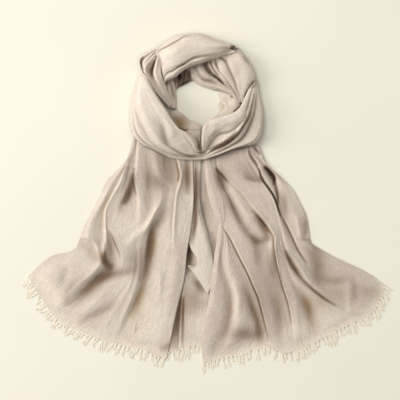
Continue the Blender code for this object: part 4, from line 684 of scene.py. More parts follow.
FRONT_WRAP_MARKS = (
    mark(-1.5, 0.35, 0, 7, 7, (-76, 152), (-72, 138), (-70, 124), (-65, 111), (-57, 104)),
    mark(0, 0.8, 0, 2, 3, (-60, 106), (-52, 101), (-42, 95), (-32, 91), (-20, 88), (-6, 88)),
    crease(0.3, 1.6, (-131, 181), (-124, 162), (-113, 141), (-103, 121), (-92, 109.5), (-78, 99.5),
        (-62, 92)),
    crease(0.3, 1.6, (-134, 156), (-130, 142), (-122, 127), (-109, 113.5), (-96, 106)),
    mark(-1, 0.15, 0, 1.6, 1.6, (-122, 150), (-116, 136), (-108, 122), (-98, 113)),
    mark(0, 0.5, 0, 1.6, 2, (-34, 132), (-26, 120), (-18, 109), (-12, 98), (-9, 95)),
    crease(1.0, 3.5, (-3, 96), (2, 94), (7, 95), (10, 99)),
    mark(0, 0.15, 0, 4, 3, (8, 100), (9, 115), (10, 132)),
    crease(0.2, 1.6, (14, 101), (18, 110), (26, 120), (33, 127)),
    mark(0, 0.85, 0, 2, 2.5, (31, 126), (42, 132), (54, 134), (66, 140), (78, 150), (89, 161), (92, 170)),
    crease(0.3, 2, (89, 160), (94, 178), (98, 196), (103, 213)),
    crease(1.1, 2, (11, 90), (24, 97), (37, 103.5), (52, 111), (66, 121), (77, 132), (86, 147),
        (95, 160), (101, 176), (105, 193), (108, 212)),
    mark(0, 0.8, 0, 1.5, 2, (26, 91), (46, 100), (64, 109.5), (80, 119), (92, 134), (100, 151), (107, 169),
        (110.5, 190), (112.5, 212)),
    mark(-1.2, 0.6, 0, 1.5, 1.5, (34, 99), (48, 106), (62, 115), (72, 124)),
    crease(0.4, 6, (70, 116), (86, 136), (97, 156), (104, 178)),
    mark(0, 0.1, 0.5, 9, 10, (104, 126), (114, 142), (118, 162), (118, 186), (115, 208)),
    mark(0, 1.25, 0, 4, 5, (16, 99), (30, 105), (46, 112), (60, 122), (74, 138)),
    # painted shadows along the wrap's outer foot
    crease(1.5, 2.5, (14, 82), (34, 87), (54, 95), (76, 103), (98, 109)),
    crease(1.3, 2.5, (-112, 108), (-96, 100), (-80, 92), (-64, 85)),
    mark(-1, 0.1, 0, 4, 4, (30, 152), (48, 146), (64, 150)),
    mark(1, 0, 0, 3, 3, (24, 158), (50, 163), (70, 170)),
)
NAPE_MARKS = (
    crease(0.85, 1.8, (-87, 288), (-79, 299), (-68, 304), (-58, 310), (-46, 316.5), (-32, 325),
        (-16, 329)),
    mark(0, 0.4, 0, 4, 2, (-84, 290), (-79, 276), (-75, 262)),
    mark(1, 0, 0, 2.5, 2.5, (-76, 284), (-73, 268), (-73, 246)),
    mark(0, 1.0, 0, 2, 1.6, (-71, 236), (-69, 248), (-62, 254), (-53, 257), (-42, 264), (-28, 271)),
    mark(0, 0.8, 0, 2.5, 2, (-40, 265), (-28, 271.5), (-14, 280.5), (2, 284.5), (18, 287.5), (34, 292)),
    mark(0, 0.2, 0, 2, 1.6, (4, 286), (20, 290.5), (38, 296), (54, 301), (64, 304)),
    mark(0, 0.15, 0, 8, 3, (-50, 266), (-32, 276), (-10, 288), (14, 294)),
    # painted highlight along the crest
    mark(0, 0, 0.8, 12, 8, (-16, 296), (10, 304), (36, 306), (58, 304)),
    mark(0, 1.6, 0, 4, 3.5, (60, 303.5), (66, 305), (71, 303)),
    crease(1.2, 2, (62, 301), (70, 299), (76, 296)),
    mark(0, 0.25, 0.4, 2, 2.5, (-24, 264), (-8, 269), (10, 277), (28, 282), (44, 287), (64, 293)),
    mark(-1.2, 0.2, 0, 2, 2, (-46, 262), (-34, 269), (-20, 272)),
    mark(-2, 0.2, 0, 10, 10, (-46, 300), (-30, 306), (-10, 312)),
    mark(0, 0, 0.5, 14, 14, (-66, 280), (-62, 292), (-50, 300)),
    # painted highlights along the lips
    mark(0, 0, 0.8, 3, 3, (-56, 249), (-43, 258.5), (-30, 266), (-14, 273), (6, 278.5), (24, 284)),
    mark(0, 0, 0.8, 4, 4, (0, 284), (20, 296), (44, 303)),
)
SHOULDER_MARKS = (
    crease(1.5, 2.5, (-112, 286), (-118, 275), (-114, 256)),
    crease(0.45, 1.5, (-82, 303), (-97, 293), (-107, 285), (-113, 280)),
    crease(0.7, 1.3, (-80, 299), (-92.7, 290), (-102.7, 280), (-111, 271.7)),
    crease(0.45, 5, (-94, 279), (-101, 264), (-99, 248)),
    crease(1.5, 1.8, (-90, 281), (-93.5, 265), (-95.5, 254), (-94, 243)),
    mark(0, 0.25, 0.8, 1.4, 1.4, (-94, 245), (-86, 229), (-74, 212), (-63, 196)),
    crease(0.5, 1.3, (-82, 284), (-81, 271), (-78.5, 257), (-73.5, 240)),
    crease(0.35, 1.5, (-77, 286), (-76.5, 268), (-75, 252), (-72, 242)),
    crease(1.2, 2.5, (-65, 244), (-67, 236), (-66, 228)),
    crease(0.5, 5, (-62, 240), (-57, 228), (-54, 212), (-51, 198)),
    crease(0.4, 1.3, (-58, 232), (-54, 216), (-49, 205)),
    crease(1.0, 1.8, (-61, 189), (-55, 182), (-48, 181)),
)
RIGHT_GATHER_MARKS = (
    crease(0.9, 5, (6, 272), (14, 262), (23, 252), (33, 245)),
    crease(1.4, 2.5, (26, 250), (36, 243), (42, 237), (47, 231)),
    crease(0.85, 1.6, (18, 281), (24, 267), (31, 255.5), (39, 247)),
    crease(0.9, 1.6, (29, 283), (33, 269), (38, 258)),
    crease(1.2, 2.5, (26, 281), (36, 284), (46, 280), (53, 273)),
    crease(0.45, 1.6, (52, 276), (58, 262), (64, 249), (69, 238), (73, 224), (80, 208)),
    crease(0.7, 2, (50, 238), (60, 227), (69, 215), (75, 202), (81, 190)),
    crease(0.5, 3, (2, 243), (12, 239.5), (24, 237), (34, 231)),
    crease(2.0, 3, (82, 196), (82, 189), (82, 182)),
    crease(1.5, 2.5, (107, 238), (103, 229), (98, 219), (92, 210), (87, 204)),
    mark(0, 0, 0.7, 8, 8, (92, 284), (104, 262), (107, 246), (102, 228)),
    crease(0.25, 7, (70, 280), (74, 262), (77, 244)),
    crease(0.6, 2.5, (20, 218), (36, 219), (50, 215), (64, 208)),
    crease(0.6, 2, (84, 288), (91, 279), (99, 269)),
    mark(0, 0.45, 0, 7, 4, (-24, 262), (-10, 266), (8, 270), (30, 278)),
)
RIGHT_WING_MARKS = (
    mark(0, 0.1, 1.0, 26, 26, (46, 216), (52, 196), (46, 172), (30, 160)),
    crease(1.0, 3, (60, 208), (64, 207), (67, 205)),
    crease(1.4, 4, (82, 190), (76, 181), (66, 175)),
    mark(-1, 0.25, 0, 3, 3, (42, 194), (47, 188), (48, 180)),
    mark(1, 0.1, 0, 3, 3, (44, 204), (50, 196), (56, 188)),
)
FRONT_WING_MARKS = (
    # thin over the whole wing: a sheer single layer, and painted light where the wrap shades it
    mark(0, 0.1, 1.0, 24, 24, (-62, 176), (-44, 158), (-26, 144), (-8, 140)),
    mark(0, 0.75, 0.1, 9, 7, (-60, 178), (-50, 162), (-38, 148), (-24, 136)),
    mark(0, 0.5, 0.2, 9, 9, (-44, 176), (-30, 158), (-16, 148)),
    crease(0.9, 2, (-44, 146), (-34, 140), (-26, 140), (-23, 144)),
    crease(0.9, 2, (-7, 126), (-3, 116), (-2, 104)),
    crease(0.5, 1.5, (-22, 141), (-10, 139.5), (0, 142)),
)
BACK_GATHER_MARKS = (
    crease(1.5, 20, (-56, 226), (-38, 242), (-16, 256)),
    crease(0.9, 3, (-48, 223), (-34, 231), (-16, 240)),
    crease(0.7, 3, (-42, 254), (-41, 248), (-40, 240)),
    crease(0.8, 3.5, (-30, 264), (-24, 254), (-21, 246), (-17, 240)),
)

# Ring of hidden layers, section by section round the neck opening: degrees round it, distance of the inner
# and the outer edge from its middle, and height
CORE = (
    Section(0, 98, 114, 12),
    Section(30, 84, 112, 15),
    Section(60, 84, 118, 16),
    Section(90, 94, 130, 24),
    Section(120, 96, 132, 22),
    Section(145, 92, 128, 4),
    Section(160, 96, 122, 6),
    Section(180, 84, 128, 30),
    Section(195, 76, 130, 34),
    Section(210, 74, 132, 36),
    Section(235, 78, 116, 30),
    Section(255, 86, 108, 20),
    Section(273, 97, 106, 14),
    Section(290, 62, 101, 20),
    Section(310, 56, 106, 26),
    Section(330, 72, 118, 26),
    Section(345, 88, 118, 20),
)

# What each stretch lies on
MIDDLE = ("cloth_middle_lower", "cloth_middle_upper")
HIDDEN = ("cloth_hidden_layers",)
OPENING = HIDDEN + ("cloth_right_wing", "cloth_front_wing", "cloth_back_gather")
GATHERED = OPENING + ("cloth_right_gather", "cloth_shoulder_folds")
UNDER_FRONT = GATHERED + ("cloth_nape_band", "cloth_left_tail", "cloth_right_tail", "cloth_middle_upper",
                          "cloth_middle_lower")

# Each stretch: the solid it stands for, its folds and marks, its flat size in metres, how it is held, how
# rosy it is, and its seed
STRETCHES = {each.node: each for each in (
    Stretch("middle_lower", MIDDLE_LOWER, MIDDLE_LOWER_MARKS, (0.085, 0.40), "laid", 0.4, 11, hemmed=True),
    Stretch("middle_upper", MIDDLE_UPPER, MIDDLE_UPPER_MARKS, (0.035, 0.28), "laid", 0.0, 12, MIDDLE[:1]),
    Stretch("left_tail", LEFT_TAIL, LEFT_TAIL_MARKS, (0.34, 0.44), "laid", 0.3, 21, MIDDLE, hemmed=True,
            pressed=True, area=0.105),
    Stretch("right_tail", RIGHT_TAIL, RIGHT_TAIL_MARKS, (0.40, 0.44), "laid", 0.55, 31, MIDDLE, hemmed=True,
            pressed=True, area=0.115),
    Stretch("right_wing", RIGHT_WING, RIGHT_WING_MARKS, (0.03, 0.08), "gathered", 0.1, 41, HIDDEN, 0.6,
            True),
    Stretch("front_wing", FRONT_WING, FRONT_WING_MARKS, (0.035, 0.10), "gathered", 0.2, 42, (), 0.6, True),
    Stretch("back_gather", BACK_GATHER, BACK_GATHER_MARKS, (0.04, 0.04), "gathered", 0.5, 43, HIDDEN, 0.6,
            True),
    Stretch("right_gather", RIGHT_GATHER, RIGHT_GATHER_MARKS, (0.13, 0.12), "gathered", 0.3, 44, OPENING,
            0.7, True),
    Stretch("shoulder_folds", SHOULDER_FOLDS, SHOULDER_MARKS, (0.075, 0.15), "gathered", 0.2, 45, OPENING,
            0.7, True),
    Stretch("nape_band", NAPE_BAND, NAPE_MARKS, (0.09, 0.17), "gathered", 0.1, 51, GATHERED, 0.8, True),
    Stretch("front_wrap", FRONT_WRAP, FRONT_WRAP_MARKS, (0.09, 0.48), "gathered", 0.05, 52, UNDER_FRONT,
            0.8, True),
)}


def smooth_line(points, count):
    """Points at equal distances along a centripetal Catmull-Rom curve through the given ones."""
    ends = np.vstack([2 * points[0] - points[1], points, 2 * points[-1] - points[-2]])
    knots = np.concatenate([[0], np.cumsum(np.linalg.norm(np.diff(ends, axis=0), axis=1) ** 0.5)])
    dense = []
    for i in range(1, len(ends) - 2):
        t = np.linspace(knots[i], knots[i + 1], CURVE_STEPS, endpoint=False)[:, None]
        t0, t1, t2, t3 = knots[i - 1 : i + 3]
        p0, p1, p2, p3 = ends[i - 1 : i + 3]
        a = (t1 - t) / (t1 - t0) * p0 + (t - t0) / (t1 - t0) * p1
        b = (t2 - t) / (t2 - t1) * p1 + (t - t1) / (t2 - t1) * p2
        c = (t3 - t) / (t3 - t2) * p2 + (t - t2) / (t3 - t2) * p3
        d = (t2 - t) / (t2 - t0) * a + (t - t0) / (t2 - t0) * b
        e = (t3 - t) / (t3 - t1) * b + (t - t1) / (t3 - t1) * c
        dense.append((t2 - t) / (t2 - t1) * d + (t - t1) / (t2 - t1) * e)
    dense = np.vstack(dense + [ends[-2][None]])
    run = np.concatenate([[0], np.cumsum(np.linalg.norm(np.diff(dense[:, :2], axis=0), axis=1))])
    wanted = np.linspace(0, run[-1], count)
    return np.column_stack([np.interp(wanted, run, dense[:, axis]) for axis in range(points.shape[1])])


def fold_slopes(folds, secants):
    """Slope of the surface into each fold and out of it, from the straight slopes between the folds."""
    before = np.concatenate([secants[:1] * EDGE_SLOPE, secants])
    after = np.concatenate([secants, secants[-1:] * EDGE_SLOPE])
    same_way = before * after > 0
    rounded = np.where(same_way, 2 * before * after / np.where(same_way, before + after, 1.0), 0.0)
    sharp = np.array([each.crease for each in folds])[:, None]
    into = rounded + (CREASE_SLOPE * before - rounded) * sharp
    out_of = rounded + (CREASE_SLOPE * after - rounded) * sharp
    return into, out_of


def loft(folds, spacing):
    """Grid of surface points, [station, column], through the folds' lines, and how far across the cloth
    each column lies."""
    length = max(np.linalg.norm(np.diff(each.points[:, :2], axis=0), axis=1).sum() for each in folds)
    stations = int(length / spacing) + 2
    lines = np.stack([smooth_line(each.points, stations) for each in folds])
    gaps = np.maximum(np.linalg.norm(np.diff(lines[..., :2], axis=0), axis=2), LEAST_GAP)
    into, out_of = fold_slopes(folds, np.diff(lines[..., 2], axis=0) / gaps)
    across, place, start = [], [], 0.0
    for i, gap in enumerate(gaps):
        a, b = lines[i], lines[i + 1]
        widest = np.percentile(gap, WIDE_PERCENT)
        count = max(2, round(widest / spacing))
        for share in np.arange(count) / count:
            point = a + (b - a) * share
            s2, s3 = share**2, share**3
            point[:, 2] = (
                a[:, 2] * (2 * s3 - 3 * s2 + 1) + out_of[i] * gap * (s3 - 2 * s2 + share)
                + b[:, 2] * (3 * s2 - 2 * s3) + into[i + 1] * gap * (s3 - s2)
            )
            across.append(point)
            place.append(start + widest * share)
        start += widest
    across.append(lines[-1])
    place.append(start)
    return np.stack(across, axis=1) - (*LAYOUT_MIDDLE, 0.0), np.array(place)


def blurred(values, passes):
    """Values of a grid, evened out with their neighbours."""
    for _ in range(passes):
        for axis in (0, 1):
            padded = np.concatenate([values.take([0], axis), values, values.take([-1], axis)], axis)
            count = padded.shape[axis]
            low, mid, high = (padded.take(range(k, count - 2 + k), axis) for k in range(3))
            values = 0.25 * low + 0.5 * mid + 0.25 * high
    return values


def lattice_noise(rng, x, y):
    """Smooth random values from -1 to 1 over a lattice of unit cells."""
    x, y = x - x.min(), y - y.min()
    table = rng.uniform(-1, 1, (int(x.max()) + 3, int(y.max()) + 3))
    i, j = x.astype(int), y.astype(int)
    u, v = x - i, y - j
    u, v = u * u * (3 - 2 * u), v * v * (3 - 2 * v)
    near = table[i, j] * (1 - v) + table[i, j + 1] * v
    far = table[i + 1, j] * (1 - v) + table[i + 1, j + 1] * v
    return near * (1 - u) + far * u


def wrinkles(rng, grid, place, height):
    """Fine uneven wrinkles along the folds: longer than wide, stronger in some places than in others."""
    along = np.linalg.norm(np.diff(grid, axis=0), axis=2).mean(axis=1)
    along = np.concatenate([[0], np.cumsum(along)])[:, None] + 0 * place[None]
    across = place[None] + 0 * along
    sway = lattice_noise(rng, across / SWAY_WIDTH, along / SWAY_LENGTH) * SWAY
    total = np.zeros(grid.shape[:2])
    for width, length, share in WRINKLES:
        lines = lattice_noise(rng, (across + sway) / width, along / length)
        strength = 0.5 + 0.5 * lattice_noise(rng, across / (STRONG_WIDTH * width), along / length)
        total += share * (np.abs(lines) * WRINKLE_RISE - WRINKLE_DROP) * strength
    return total * height


def marked(grid, marks):
    """What the listed marks add at each point of a grid: height, painted shade, and thinness that also
    paints highlights.
    """
    total = np.zeros((3, *grid.shape[:2]))
    for each in marks:
        line = smooth_line(each.points, MARK_STEPS)[:, :2] - LAYOUT_MIDDLE
        start, step = line[:-1], np.diff(line, axis=0)
        reach = MARK_REACH * max(each.left, each.right)
        low, high = line.min(axis=0) - reach, line.max(axis=0) + reach
        near = ((grid[..., :2] > low) & (grid[..., :2] < high)).all(axis=2)
        offset = grid[near][:, None, :2] - start
        run = np.clip((offset * step).sum(axis=2) / (step**2).sum(axis=1), 0, 1)
        away = offset - run[..., None] * step
        distance = np.linalg.norm(away, axis=2)
        first = distance.argmin(axis=1)
        rows = np.arange(len(first))
        side = step[first, 0] * away[rows, first, 1] - step[first, 1] * away[rows, first, 0]
        width = np.where(side > 0, each.left, each.right)
        travelled = (first + run[rows, first]) / len(step)
        fade = np.clip(max(each.left, each.right) / TAPER_WIDTH, *TAPERS)
        taper = np.sin(np.pi * np.clip(travelled, 0, 1)) ** fade
        shape = taper * np.exp(-((distance[rows, first] / width) ** 2))
        for values, amount in zip(total, (each.height, each.deep, each.thin)):
            values[near] += amount * shape
    return total[0], np.minimum(total[1], DEEPEST_PAINTED_SHADE), np.minimum(total[2], THINNEST)


def wrap_reach(angle):
    """Distance from the middle of the neck opening to the wrap's outer foot, at each angle."""
    foot = smooth_line(FRONT_WRAP[0].points, FOOT_STEPS)[:, :2] - LAYOUT_MIDDLE - NECK
    around = np.unwrap(np.arctan2(foot[:, 1], foot[:, 0]))
    turned = around[0] + np.mod(angle - around[0], 2 * np.pi)
    return np.interp(turned, around, np.hypot(foot[:, 0], foot[:, 1]))


def pressed(grid):
    """A tail's heights, held down where the wrap lies on them and free to rise away from it."""
    offset = grid[..., :2] - NECK
    angle = np.arctan2(offset[..., 1], offset[..., 0])
    beyond = np.hypot(offset[..., 0], offset[..., 1]) - wrap_reach(angle)
    return np.minimum(grid[..., 2], PRESSED + PRESS_SLOPE * np.maximum(beyond, 0.0))


class HeightMap:
    """Greatest height of the pieces laid so far, in cells over the whole layout."""

    def __init__(self, names):
        low, high = np.array(CAD_LOW) / MM - MAP_MARGIN, np.array(CAD_HIGH) / MM + MAP_MARGIN
        self.low = low[:2]
        self.cells = np.full(np.ceil((high - low)[:2] / CELL).astype(int), BARE)
        for name in names:
            mesh = bpy.data.objects[name].data
            points = np.empty(len(mesh.vertices) * 3, np.float32)
            mesh.vertices.foreach_get("co", points)
            points = points.reshape(-1, 3) / MM
            spot = ((points[:, :2] - self.low) / CELL).astype(int)
            np.maximum.at(self.cells, (spot[:, 0], spot[:, 1]), points[:, 2])

        for axis in (0, 1) * SPREAD:
            beside = np.maximum(np.roll(self.cells, 1, axis), np.roll(self.cells, -1, axis))
            self.cells = np.maximum(self.cells, beside)

    def at(self, grid):
        """Height of the map under each point of a grid."""
        cells = self.cells
        spot = (grid[..., :2] - self.low) / CELL - 0.5
        i = np.clip(spot.astype(int), 0, np.array(cells.shape) - 2)
        u, v = np.moveaxis(spot - i, -1, 0)
        i, j = np.moveaxis(i, -1, 0)
        near = cells[i, j] * (1 - v) + cells[i, j + 1] * v
        far = cells[i + 1, j] * (1 - v) + cells[i + 1, j + 1] * v
        return near * (1 - u) + far * u


def laid(grid, names, thickness):
    """Heights of a stretch that clear the pieces it lies on."""
    if not names:
        return grid[..., 2]
    ground = HeightMap(names).at(grid)
    wanted = np.where(ground > 0, ground + thickness + CLEARANCE, 0.0)
    lift = np.maximum(wanted - grid[..., 2], 0.0)
    eased = np.maximum(blurred(lift, EASE_PASSES), lift)
    return grid[..., 2] + np.maximum(blurred(eased, 1), lift)


def normals(grid):
    """Upward unit normal at each point of a grid."""
    normal = np.cross(np.gradient(grid, axis=0), np.gradient(grid, axis=1))
    normal *= np.sign(normal[..., 2].sum())
    return normal / np.maximum(np.linalg.norm(normal, axis=2, keepdims=True), TINY)


def grid_quads(rows, columns, start, turned):
    """Faces between the points of a grid, as corner numbers."""
    corner = start + np.arange(rows * columns).reshape(rows, columns)
    quads = np.stack([corner[:-1, :-1], corner[:-1, 1:], corner[1:, 1:], corner[1:, :-1]], axis=-1)
    quads = quads.reshape(-1, 4)
    return quads[:, ::-1] if turned else quads


def shell_mesh(name, top, below, coordinates, masks):
    """Closed mesh between two grids, with a UV map of cloth coordinates in metres and named point masks."""
    rows, columns = top.shape[:2]
    size = rows * columns
    turned = np.cross(np.gradient(top, axis=0), np.gradient(top, axis=1))[..., 2].sum() > 0
    upper = grid_quads(rows, columns, 0, turned)
    lower = grid_quads(rows, columns, size, not turned)
    edge = np.arange(size).reshape(rows, columns)
    rim = np.concatenate([edge[0, :-1], edge[:-1, -1], edge[-1, :0:-1], edge[:0:-1, 0]])
    after = np.roll(rim, -1)
    wall = np.stack([after, rim, size + rim, size + after], axis=1)
    wall = wall[:, ::-1] if turned else wall
    corners = np.vstack([top.reshape(-1, 3), below.reshape(-1, 3)]) * MM
    mesh = bpy.data.meshes.new(name)
    mesh.from_pydata(corners.tolist(), [], np.vstack([upper, lower, wall]).tolist())
    spots = np.vstack([coordinates.reshape(-1, 2)] * 2) * MM
    corner_of = np.empty(len(mesh.loops), np.int32)
    mesh.loops.foreach_get("vertex_index", corner_of)
    mesh.uv_layers.new(name="cloth").data.foreach_set("uv", spots[corner_of].astype(np.float32).ravel())
    for mask, values in masks.items():
        layer = mesh.attributes.new(mask, "FLOAT", "POINT")
        layer.data.foreach_set("value", np.concatenate([values.ravel()] * 2).astype(np.float32))
    mesh.shade_smooth()
    return mesh


def underside(grid, thickness):
    """The same grid moved down by the thickness of the cloth, and flat where it rests on the floor."""
    below = grid - normals(grid) * thickness
    below[..., 2] = np.maximum(below[..., 2], 0.0)
    return below


def painted_fold_shade(grid, place, deep):
    """Painted shade at each point of a grid: the marks' own, and more where the form lies in a hollow."""
    wide = blurred(grid[..., 2], HOLLOW_PASSES)
    form = np.clip((wide - grid[..., 2]) / HOLLOW_DEPTH, 0.0, 1.0)
    inside = np.clip(np.minimum(place, place[-1] - place) / EDGE_FADE, 0.0, 1.0)
    return deep + np.maximum(1 - deep, 0.0) * form * HOLLOW_SHARE * inside[None]


def add_piece(name, data):
    """A new object of the scene that holds a mesh, a camera or a light."""
    piece = bpy.data.objects.new(name, data)
    bpy.context.scene.collection.objects.link(piece)
    return piece


def add_sheet(stretch, settings):
    """One stretch of cloth: lofted, marked, wrinkled, laid on the pieces named and given its thickness."""
    grid, place = loft(stretch.folds, (settings.fine_spacing if stretch.fine else settings.spacing) / MM)
    thickness = settings.thickness / MM
    rng = np.random.default_rng(stretch.seed)
    along = np.concatenate([[0], np.cumsum(np.linalg.norm(np.diff(grid, axis=0), axis=2).mean(axis=1))])
    # deep is painted shade; thin is thinner cloth and painted highlight
    raised, deep, thin = marked(grid, stretch.marks)
    fullness = TAIL_FULLNESS if stretch.pressed else 1.0
    grid[..., 2] = fullness * blurred(grid[..., 2], 1) + raised
    if stretch.hemmed:
        grid[..., 2] *= 1 - HEM_FALL * np.exp(-(((along[-1] - along) / HEM_REACH) ** 2))[:, None]
        thin = np.maximum(thin, np.exp(-(((along[-1] - along) / HEM_THIN) ** 2))[:, None])
    grid[..., 2] += wrinkles(rng, grid, place, stretch.wrinkle * settings.wrinkle / MM)
    grid[..., 2] = np.maximum(grid[..., 2], thickness + LEAST_LIFT)
    if stretch.pressed:
        grid[..., 2] = pressed(grid)
    grid[..., 2] = laid(grid, stretch.lies_on, thickness)
    coordinates = np.stack(np.broadcast_arrays(place[None], along[:, None]), axis=-1)
    # the hollow mask is painted shade in the folds; the thin mask also carries painted highlights
    masks = {"hollow": painted_fold_shade(grid, place, deep), "thin": thin}
    name = f"cloth_{stretch.node}"
    return add_piece(name, shell_mesh(name, grid, underside(grid, thickness), coordinates, masks)), grid


def declare(piece, solid):
    """Attaches a sheet to the body and hides the solid that it stands for."""
    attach(piece, BODY)
    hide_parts(solid)


def hidden_layers(spacing):
    """Grid over the ring of hidden layers, section by section round the opening, ridged by their edges."""
    angles = np.linspace(CORE_START, CORE_START + CORE_TURN, int(CORE_LENGTH / spacing))
    turn = np.array([row.angle + whole for whole in (-360, 0, 360) for row in CORE])
    inner, outer, top = (
        np.interp(angles, turn, [getattr(row, field) for row in CORE] * 3)[:, None]
        for field in ("inner", "outer", "top")
    )
    share = np.linspace(CORE_SIDE, 1 - CORE_SIDE, CORE_COLUMNS)[None]
    reach = inner + (outer - inner) * share
    around = np.radians(angles)[:, None]
    layers = LAYER_RIDGE * np.abs(np.sin(np.pi * CORE_LAYERS * share + around * LAYER_TWIST))
    height = CORE_FOOT + (top - 2 * CORE_FOOT) * np.sin(np.pi * share) ** CORE_FULLNESS - layers
    x, y = NECK[0] + reach * np.cos(around), NECK[1] + reach * np.sin(around)
    return np.stack([x, y, np.maximum(height, CORE_LEAST)], axis=-1)


def tuft_strands(rng, root, outward, settings):
    """Lines of one tuft: strands that leave the hem close together, gather and part again at their tips."""
    sideways = np.array([-outward[1], outward[0]])
    length = settings.length / MM * rng.uniform(*TUFT_LENGTHS)
    bend = rng.normal(0, TUFT_BEND)
    t = np.linspace(0, 1, STRAND_POINTS)
    pinch = 0.5 - TUFT_PINCH * np.sin(np.pi * np.minimum(t * PINCH_PLACE, 1))
    lines = []
    for _ in range(settings.strands):
        spread = rng.uniform(-1, 1)
        reach = length * rng.uniform(*STRAND_LENGTHS)
        across = spread * settings.width / MM * pinch
        across = across + bend * reach * t**2 + rng.normal(0, STRAND_BEND) * reach * t**1.5
        lift = root[2] * (1 - t) ** 3 + STRAND_REST * rng.uniform(*STRAND_RESTS)
        place = root[:2] + outward * (reach * t - HEM_OVERLAP)[:, None] + sideways * across[:, None]
        lines.append(np.column_stack([place, lift]))
    return lines


def strand_mesh(name, lines, radius):
    """Thin tapered tubes along the lines, joined in one mesh."""
    corners, faces = [], []
    turns = np.arange(STRAND_SIDES) * 2 * np.pi / STRAND_SIDES
    flat, round_up = np.cos(turns)[None, :, None], STRAND_FLATNESS * np.sin(turns)[None, :, None]
    thick = radius * (1 - STRAND_TAPER * np.linspace(0, 1, STRAND_POINTS) ** 2)
    sides = range(STRAND_SIDES)
    for k, line in enumerate(lines):
        along = np.gradient(line, axis=0)
        along /= np.linalg.norm(along, axis=1, keepdims=True)
        side = np.cross(along, (0, 0, 1))
        side /= np.linalg.norm(side, axis=1, keepdims=True)
        up = np.cross(side, along)
        ring = line[:, None] + thick[:, None, None] * (flat * side[:, None] + round_up * up[:, None])
        corners.append(ring.reshape(-1, 3))
        starts = [(k * STRAND_POINTS + i) * STRAND_SIDES for i in range(STRAND_POINTS)]
        for a, b in zip(starts, starts[1:]):
            for j in sides:
                beside = (j + 1) % STRAND_SIDES
                faces.append((a + j, b + j, b + beside, a + beside))
        faces.append(tuple(starts[0] + j for j in sides))
        faces.append(tuple(starts[-1] + j for j in reversed(sides)))
    mesh = bpy.data.meshes.new(name)
    mesh.from_pydata((np.vstack(corners) * MM).tolist(), [], faces)
    return mesh


def add_fringe(side, hem, settings):
    """The tufts along a hem, in one mesh that stands for the fringe's plain solid."""
    rng = np.random.default_rng(FRINGE_SEEDS[side])
    run = np.concatenate([[0], np.cumsum(np.linalg.norm(np.diff(hem[:, :2], axis=0), axis=1))])
    places, at = [], rng.uniform(*FIRST_TUFT)
    while at < run[-1] - 1:
        places.append(at)
        at += settings.pitch / MM * rng.uniform(*TUFT_PITCHES)
    lines = []
    for at in places:
        root = np.array([np.interp(at, run, hem[:, axis]) for axis in range(3)])
        outward = root[:2] - NECK
        lines += tuft_strands(rng, root, outward / np.linalg.norm(outward), settings)
    name = f"fringe_{side}"
    piece = add_piece(name, strand_mesh(name, lines, settings.thread / MM))
    piece.data.materials.append(plain_material(f"{name}_yarn", settings.colour, YARN))
    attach(piece, BODY)
    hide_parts(f"{side}_fringe")


def node(tree, kind, x, y, inputs=None, **settings):
    """A node with its settings, and its inputs by name or number: a value, or the socket that feeds it."""
    made = tree.nodes.new(kind)
    made.location = (x, y)
    for key, value in settings.items():
        setattr(made, key, value)
    for key, value in (inputs or {}).items():
        if isinstance(value, bpy.types.NodeSocket):
            tree.links.new(value, made.inputs[key])
        else:
            made.inputs[key].default_value = value
    return made


def maths(tree, operation, x, y, *values, kind="ShaderNodeMath"):
    """What a math node makes of its values, each a number or a socket."""
    return node(tree, kind, x, y, dict(enumerate(values)), operation=operation).outputs[0]


def noise(tree, x, y, place, **inputs):
    """A noise texture at the places that a socket gives."""
    return node(tree, "ShaderNodeTexNoise", x, y, {"Vector": place, **inputs})


def mixed(tree, x, y, share, first, second):
    """A colour between two."""
    inputs = {MIX_FACTOR: share, MIX_A: first, MIX_B: second}
    return node(tree, "ShaderNodeMix", x, y, inputs, data_type="RGBA").outputs[MIX_RESULT]


def ranged(tree, x, y, value, low, high, to_low=0.0, to_high=1.0):
    """A value between two limits, carried over to lie between two others."""
    inputs = {"Value": value, "From Min": low, "From Max": high, "To Min": to_low, "To Max": to_high}
    return node(tree, "ShaderNodeMapRange", x, y, inputs).outputs[0]


def node_group(name, inputs, outputs):
    """A new shader node group with the sockets named, its tree, and the node that gives its inputs."""
    group = bpy.data.node_groups.new(name, "ShaderNodeTree")
    for way, kinds in (("INPUT", inputs), ("OUTPUT", outputs)):
        for socket_name, kind in kinds.items():
            group.interface.new_socket(name=socket_name, in_out=way, socket_type=f"NodeSocket{kind}")
    return group, node(group, "NodeGroupInput", -900, 0).outputs


